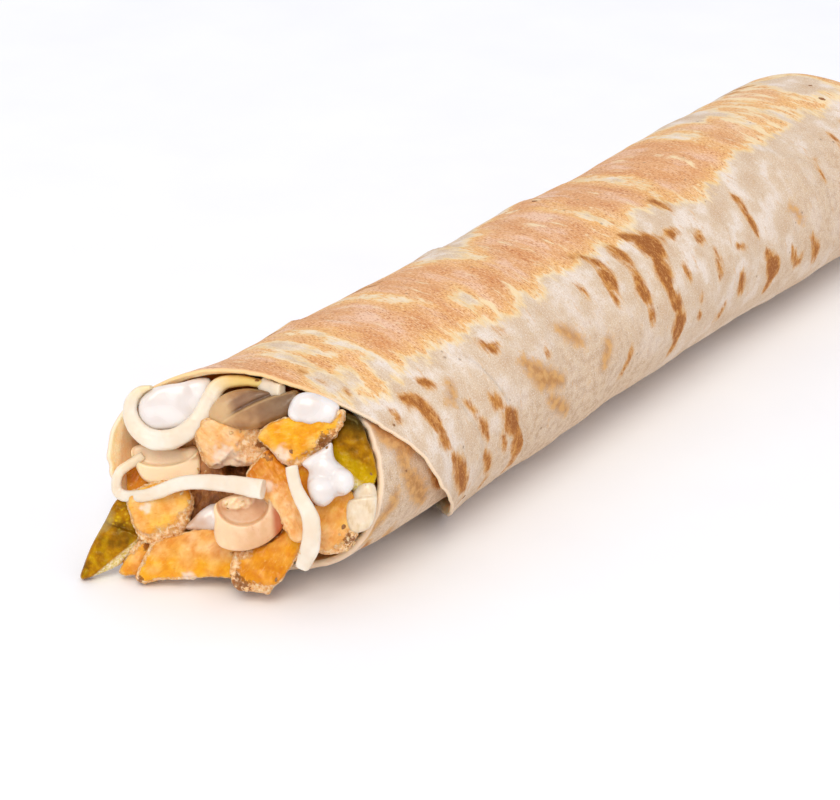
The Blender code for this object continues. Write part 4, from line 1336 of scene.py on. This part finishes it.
for index, (node, (points, widths, thickness, oil)) in enumerate(STRIPS.items()):
    thing, spine = ribbon("soft_" + node, points, widths, thickness)
    strip = Carving(node, "soft_" + node, "cheese", thing, spine.mean(axis=0), 0.28, 3)
    strip.swell(0.14 * strip.noise(3.0, index) + 0.07 * strip.noise(1.0, index + 5))
    if node == "cheese_loop":
        strip.press()
    gaps = np.linalg.norm(strip.points[:, None] - spine[None, ::3], axis=-1)
    nearest = np.argmin(gaps, axis=1) / (len(spine) / 3)
    strip.tell("oily", oil[0] * smoothstep(0.35, 0.05, nearest) + oil[1] * smoothstep(0.8, 1.0, nearest))
    strip.done(CHEESE)

# %% [markdown]
# ## White sauce
# The sauce is thick, so it sits in dollops with soft lobes and a wet shine. It could be made with
# metaballs, but they ignore the neighbours. Here the front of a block is pushed up into a few round
# domes, which run into each other.

# %% Dollops of sauce
def sauce_finish():
    f = Finish("white_sauce", soft=0.5, soft_tint=(1.0, 0.8, 0.65), coat=0.5, coat_roughness=0.12)
    wide = f.noise(f.place(), 4, detail=0)
    colour = f.ramp(wide, (0.34, (226, 216, 210)), (0.6, (235, 228, 224)))
    # painted shade: warm shade on the lower left of the lower dollop
    colour = f.blend(f.attribute("stained"), colour, (204, 168, 140))
    return f.wear_grain(colour, wide, (0.22, 0.34), 0.08)


SAUCE = sauce_finish()
DOLLOPS = {  # outline, front, depth, then domes as place, radius on the picture and height in mm
    "sauce_top_left": dict(
        outline=[(296, 250), (318, 196), (370, 156), (450, 134), (540, 122), (612, 128), (610, 215),
                 (570, 290), (500, 335), (430, 350), (360, 345), (312, 308)],
        front=-5.0, depth=7, domes=[(410, 240, 160, 1.6), (500, 200, 110, 0.9)]),
    "sauce_top_right": dict(
        outline=[(948, 280), (958, 232), (985, 196), (1040, 182), (1105, 200), (1165, 232), (1175, 262),
                 (1146, 322), (1100, 334), (1030, 327), (972, 311)],
        front=9.3, depth=7, domes=[(1040, 250, 80, 1.3), (1120, 280, 60, 0.9), (985, 280, 45, 0.7)]),
    "sauce_center_right": dict(
        outline=[(1008, 495), (1055, 455), (1105, 425), (1142, 400), (1152, 470), (1192, 508),
                 (1232, 542), (1238, 592), (1204, 632), (1160, 640), (1140, 662), (1104, 684),
                 (1064, 667), (1040, 622), (1032, 575), (1040, 530)],
        front=12.0, depth=8,
        domes=[(1092, 616, 66, 2.8), (1188, 572, 56, 2.2), (1110, 520, 60, 1.2), (1120, 450, 40, 0.6)]),
    "sauce_lower": dict(
        outline=[(500, 775), (540, 728), (580, 690), (620, 668), (668, 676), (672, 760), (652, 802),
                 (590, 798), (540, 788)],
        front=-3.5, depth=6, domes=[(600, 735, 60, 0.8), (640, 740, 30, 1.0)]),
}
for index, (node, form) in enumerate(DOLLOPS.items()):
    outline, front, depth, domes = form.values()
    dollop = block(node, "white_" + node, "sauce", outline, front, depth, rounded=1.6, smooth=5)
    high = np.zeros_like(dollop.u)
    for x, y, radius, height in domes:
        dome = np.sqrt(np.clip(1 - dollop.spot((x, y), radius, radius) ** 2, 0, 1))
        high = np.maximum(high, height * dome)
    dollop.move(w=high * smoothstep(-3.5, -0.8, dollop.w))
    dollop.remesh(0.3, 4)
    dollop.swell(0.09 * dollop.noise(2.4, index + 3))
    # painted shade: the lower left of sauce_lower is darkened warm for the shade there
    low_left = smoothstep(3, -3, dollop.v + dollop.u + 2 * dollop.noise(2.0, 3))
    dollop.tell("stained", (node == "sauce_lower") * low_left * 0.85)
    dollop.press()
    dollop.done(SAUCE)

# %% [markdown]
# ## Pickle
# The pickle is olive and glassy, darker in its skin and paler along its cut edge, with small seeds. Light
# goes deep into it, but a clear material would show the plain backs of its neighbours, so it is a soft
# one with a tinted shine. Both slices are blocks again: a ridge and a cut edge are pushed back, and the
# points tell the colours apart.

# %% Pickle finish
def pickle_finish():
    f = Finish("pickle", soft=0.25, soft_tint=(1.0, 0.8, 0.1), coat=0.08, coat_roughness=0.08, shine=0.25,
               shine_tint=(1.0, 0.85, 0.2))
    spot = f.place()
    wide, fine = f.noise(spot, 2.6, detail=4), f.noise(spot, 0.7, detail=4)
    skin = f.ramp(wide, (0.34, (126, 80, 0)), (0.5, (160, 104, 0)), (0.64, (184, 130, 2)))
    # bright marks paler seeds and patches, and painted light on the lower part of the right wedge
    skin = f.blend(f.attribute("bright"), skin, (208, 170, 0))
    flesh = f.ramp(fine, (0.36, (214, 190, 96)), (0.5, (232, 216, 156)), (0.64, (246, 238, 212)))
    # painted shade: deep darkens the shaded patch of the left slice and the top of the right wedge
    colour = f.blend(f.attribute("deep"), skin, (44, 27, 0))
    # painted sheen: a grey band of shine on the left slice's skin
    colour = f.blend(f.attribute("misty"), colour, (172, 148, 92))
    colour = f.blend(f.attribute("flesh"), colour, flesh)
    return f.wear_grain(colour, fine, (0.18, 0.36), 0.15)


PICKLE = pickle_finish()
print("pickle finish:", len(PICKLE.node_tree.nodes), "nodes")

# %% Blade of pickle on the left
BLADE_OUTLINE = [(48, 998), (62, 930), (98, 842), (150, 748), (188, 672), (222, 640), (290, 650),
                 (330, 720), (322, 810), (292, 858), (240, 912), (215, 938), (135, 974)]
blade = block("pickle_left", "pickle_slice_left", "pickle", BLADE_OUTLINE, -11.5, depth=3.2, rounded=0.9,
              taper=0.5)
ridge = blade.beside((180, 762), (290, 800))
blade.move(w=0.5 * smoothstep(0.3, -0.3, ridge) * smoothstep(-2, 0, blade.w) + 0.2 * blade.noise(1.6, 4))
cut = blade.beside((100, 985), (312, 808))
blade.move(w=-0.7 * smoothstep(0.2, -0.8, cut) * smoothstep(-2, 0, blade.w))
blade.tell("flesh", smoothstep(0.15, -0.25, cut) * 0.9)
# painted sheen: a grey band on the upper left of the slice
mist = blade.spot((160, 748), 62, 24, turn=58) + 0.6 * blade.noise(1.2, 6)
blade.tell("misty", 0.6 * smoothstep(1.3, 0.5, mist))
seeds = smoothstep(0.45, 0.15, blade.crumbs(0.9, 4)) * smoothstep(1.3, 0.8, blade.spot((222, 733), 50, 45))
blade.tell("bright", np.clip(0.8 * seeds + 0.35 * smoothstep(0.0, 0.4, blade.noise(2.2, 8)), 0, 1))
shady = smoothstep(1.4, 0.4, blade.spot((250, 790), 70, 45) + 0.4 * blade.noise(1.5, 9))
# painted shade on the shady patch; a thin darker line runs along the ridge
blade.tell("deep", np.clip(0.35 * shady + 0.2 * np.exp(-((ridge / 0.25) ** 2)), 0, 1))
blade.press()
blade.done(PICKLE)

# %% Wedge of pickle on the right
WEDGE_OUTLINE = [(1148, 350), (1180, 290), (1212, 274), (1264, 305), (1298, 390), (1328, 480),
                 (1334, 560), (1284, 622), (1230, 615), (1205, 560), (1150, 500), (1136, 430)]
wedge = block("pickle_right", "pickle_slice_right", "pickle", WEDGE_OUTLINE, 6.8, depth=8, rounded=1.2,
              tilt=(0.2, 0.0))
seeds = smoothstep(0.42, 0.1, wedge.crumbs(1.1, 3))
wedge.swell(0.3 * wedge.noise(1.8, 9) + 0.35 * seeds * smoothstep(1, -4, wedge.v))
lower = wedge.beside((1140, 470), (1245, 560))
wedge.tell("flesh", np.clip(smoothstep(0.6, -0.8, lower + 0.7 * wedge.noise(1.0, 3)), 0, 1) * 0.85)
# painted shadow: the top of the wedge is darkened
wedge.tell("deep", smoothstep(1.5, 7.5, wedge.v + 0.25 * wedge.u) * 0.95)
wedge.tell("misty", 0.0)
# painted light: the lower part of the wedge is brightened
wedge.tell("bright", 0.75 * smoothstep(0.5, -3.5, wedge.v + 0.6 * wedge.u + 1.5 * wedge.noise(1.6, 5)))
wedge.press()
wedge.done(PICKLE)

# %% [markdown]
# ## Onion
# One pale piece of onion sits in the right corner: milky, half clear and ribbed along its layers. It is a
# block with a step across it, because two of its layers show, and its noise is stretched upwards to give
# the ribs.

# %% Onion
def onion_finish():
    f = Finish("onion", soft=0.5, soft_depth=2.5, soft_tint=(1.0, 0.85, 0.5), coat=0.4, coat_roughness=0.15)
    fine = f.noise(f.place(stretch=(1, 1, 0.4)), 1.6, detail=3)
    colour = f.ramp(fine, (0.3, (218, 192, 154)), (0.55, (229, 210, 182)), (0.75, (236, 224, 204)))
    return f.wear_grain(colour, fine, (0.25, 0.4), 0.1)


ONION_OUTLINE = [(1197, 700), (1210, 650), (1232, 618), (1258, 586), (1304, 568), (1334, 605),
                 (1336, 690), (1314, 765), (1262, 796), (1226, 790), (1203, 752)]
onion = block("onion_piece", "onion_slice", "onion", ONION_OUTLINE, 8.6, depth=6, rounded=1.4,
              tilt=(0.1, 0.0))
step = onion.beside((1225, 650), (1312, 640))
onion.move(w=-0.8 * smoothstep(-0.3, 0.3, step) * smoothstep(-4, -1, onion.w) + 0.15 * onion.noise(2.0, 2))
onion.press()
onion.done(onion_finish())

# %% [markdown]
# ## Crumbs
# A few crumbs of crust and meat have come off and lie on whatever is below them, and a few specks of the
# sheet are burnt. Each is dropped along the line of sight until it meets a piece and laid flat on its
# skin, so that none floats, and all of them share one mesh.

# %% Crumbs at the mouth
CRUMBS = [  # place on the enlarged picture, and width in mm
    (1188, 838, 1.1), (1212, 822, 0.8), (1236, 842, 1.2), (1206, 872, 0.9), (1160, 888, 0.8),
    (1250, 800, 0.7), (1128, 900, 0.7), (1175, 805, 0.6), (512, 742, 1.2), (498, 700, 0.8),
    (520, 660, 0.9), (486, 622, 0.8), (702, 360, 0.9), (742, 354, 0.6), (706, 888, 1.0), (722, 902, 0.8),
    (330, 835, 1.1), (352, 858, 0.9), (300, 822, 0.8), (1000, 880, 0.7), (905, 462, 0.7), (842, 462, 0.9),
    (560, 520, 0.9), (590, 530, 0.7), (680, 672, 0.7), (752, 660, 0.6),
]
SCORCHED = [  # burnt specks, which lie flat
    (1715, 640, 1.3), (3276, -1094, 1.6), (3223, -1152, 1.0), (2024, -648, 1.3), (1465, 527, 0.6),
    (1411, 327, 0.6), (964, 444, 0.9), (1118, 425, 0.8), (815, 132, 0.9), (1192, 770, 1.1),
    (836, 404, 0.9), (1312, 540, 0.6), (898, 1000, 0.8), (686, 690, 0.5),
]
DRESSED = ("grilled", "fried", "soft", "white", "dark_meat", "pickle_slice", "onion_slice", "rolled")
dressed = [o for o in bpy.context.scene.objects if o.type == "MESH" and o.name.startswith(DRESSED)]
luck = random.Random(5)
shape = bmesh.new()
burnt = []
for k, (x, y, width) in enumerate(CRUMBS + SCORCHED):
    ahead = seen((x, y), 0.0) - EYE
    ahead /= np.linalg.norm(ahead)
    hits = []
    for thing in dressed:
        met, place, up, _ = thing.ray_cast(Vector(EYE * MM), Vector(ahead))
        if met:
            hits.append(((np.array(place) / MM - EYE) @ ahead, up))
    if not hits:
        print("nothing lies below the crumb at", (x, y))
        continue
    near, up = min(hits, key=lambda hit: hit[0])
    grown = bmesh.ops.create_icosphere(shape, subdivisions=2, radius=0.5 * width * MM)["verts"]
    burnt += [k >= len(CRUMBS)] * len(grown)
    flat = 0.2 if burnt[-1] else 0.6
    turn = up.to_track_quat("Z", "Y").to_matrix() @ Euler((0, 0, luck.uniform(0, 6))).to_matrix()
    for vert in grown:
        rough = 1 + 0.7 * noise.noise(vert.co / (0.4 * width * MM) + Vector((x, y, 0)) * 0.37)
        lump = Vector((vert.co.x * 1.3, vert.co.y * 0.9, vert.co.z * flat))
        vert.co = turn @ lump * rough + Vector((EYE + ahead * near) * MM)
mesh = bpy.data.meshes.new("crumbs")
shape.to_mesh(mesh)
shape.free()
crumbs = add_object("crumbs", mesh)
set_attribute(crumbs, "crust", np.ones(len(mesh.vertices)))
set_attribute(crumbs, "char", np.array(burnt) * 1.6)
mesh.shade_smooth()
dress(crumbs, CHICKEN)
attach(crumbs, "root")
print("crumbs:", len(CRUMBS), "scorched specks:", len(SCORCHED))

# %% [markdown]
# ## Floor and light
# The wrap lies on a white table in a white room, so the light comes from nearly everywhere, and the
# picture's only shadow is a short soft one, grey with a touch of violet, along the right of the roll. A
# bright even room does most of it. One large soft lamp, high in front and a little to the right, shines
# into the mouth and throws the roll's own shadow behind it; what is left on the right is the darkening
# where roll and table face each other. The colours are shown without a film look, so white stays white.

# %% Floor, light and room
TABLE_REACH = 6000  # mm each way, beyond what the camera sees


def white_floor():
    x = y = TABLE_REACH
    floor = mesh_object("table_top", [(-x, -y, 0), (x, -y, 0), (x, y, 0), (-x, y, 0)], [(0, 1, 2, 3)])
    f = Finish("white_table", roughness=0.6)
    grain = f.noise(f.place(), 40, detail=2)
    dress(floor, f.wear(colour=f.ramp(grain, (0.3, (251, 251, 253)), (0.7, (254, 254, 255)))))


def softbox(name, place, size, watts, colour):
    """A lamp with a broad face, turned to the middle of the roll. Places and sizes are in metres."""
    light = bpy.data.lights.new(name, "AREA")
    light.shape, light.energy, light.color = "RECTANGLE", watts, colour
    light.size, light.size_y = size
    lamp = add_object(name, light)
    lamp.location = place
    lamp.rotation_euler = (-Vector(place)).to_track_quat("-Z", "Y").to_euler()


white_floor()
softbox("key", place=(1.1, -2.5, 3.0), size=(2.4, 2.0), watts=84, colour=(1.0, 0.94, 0.82))
room = bpy.data.worlds.new("white_room")
room.use_nodes = True
sky = room.node_tree.nodes["Background"].inputs
sky["Color"].default_value = (0.885, 0.91, 1.0, 1.0)
sky["Strength"].default_value = 0.81
bpy.context.scene.world = room
bpy.context.scene.view_settings.view_transform = "Standard"
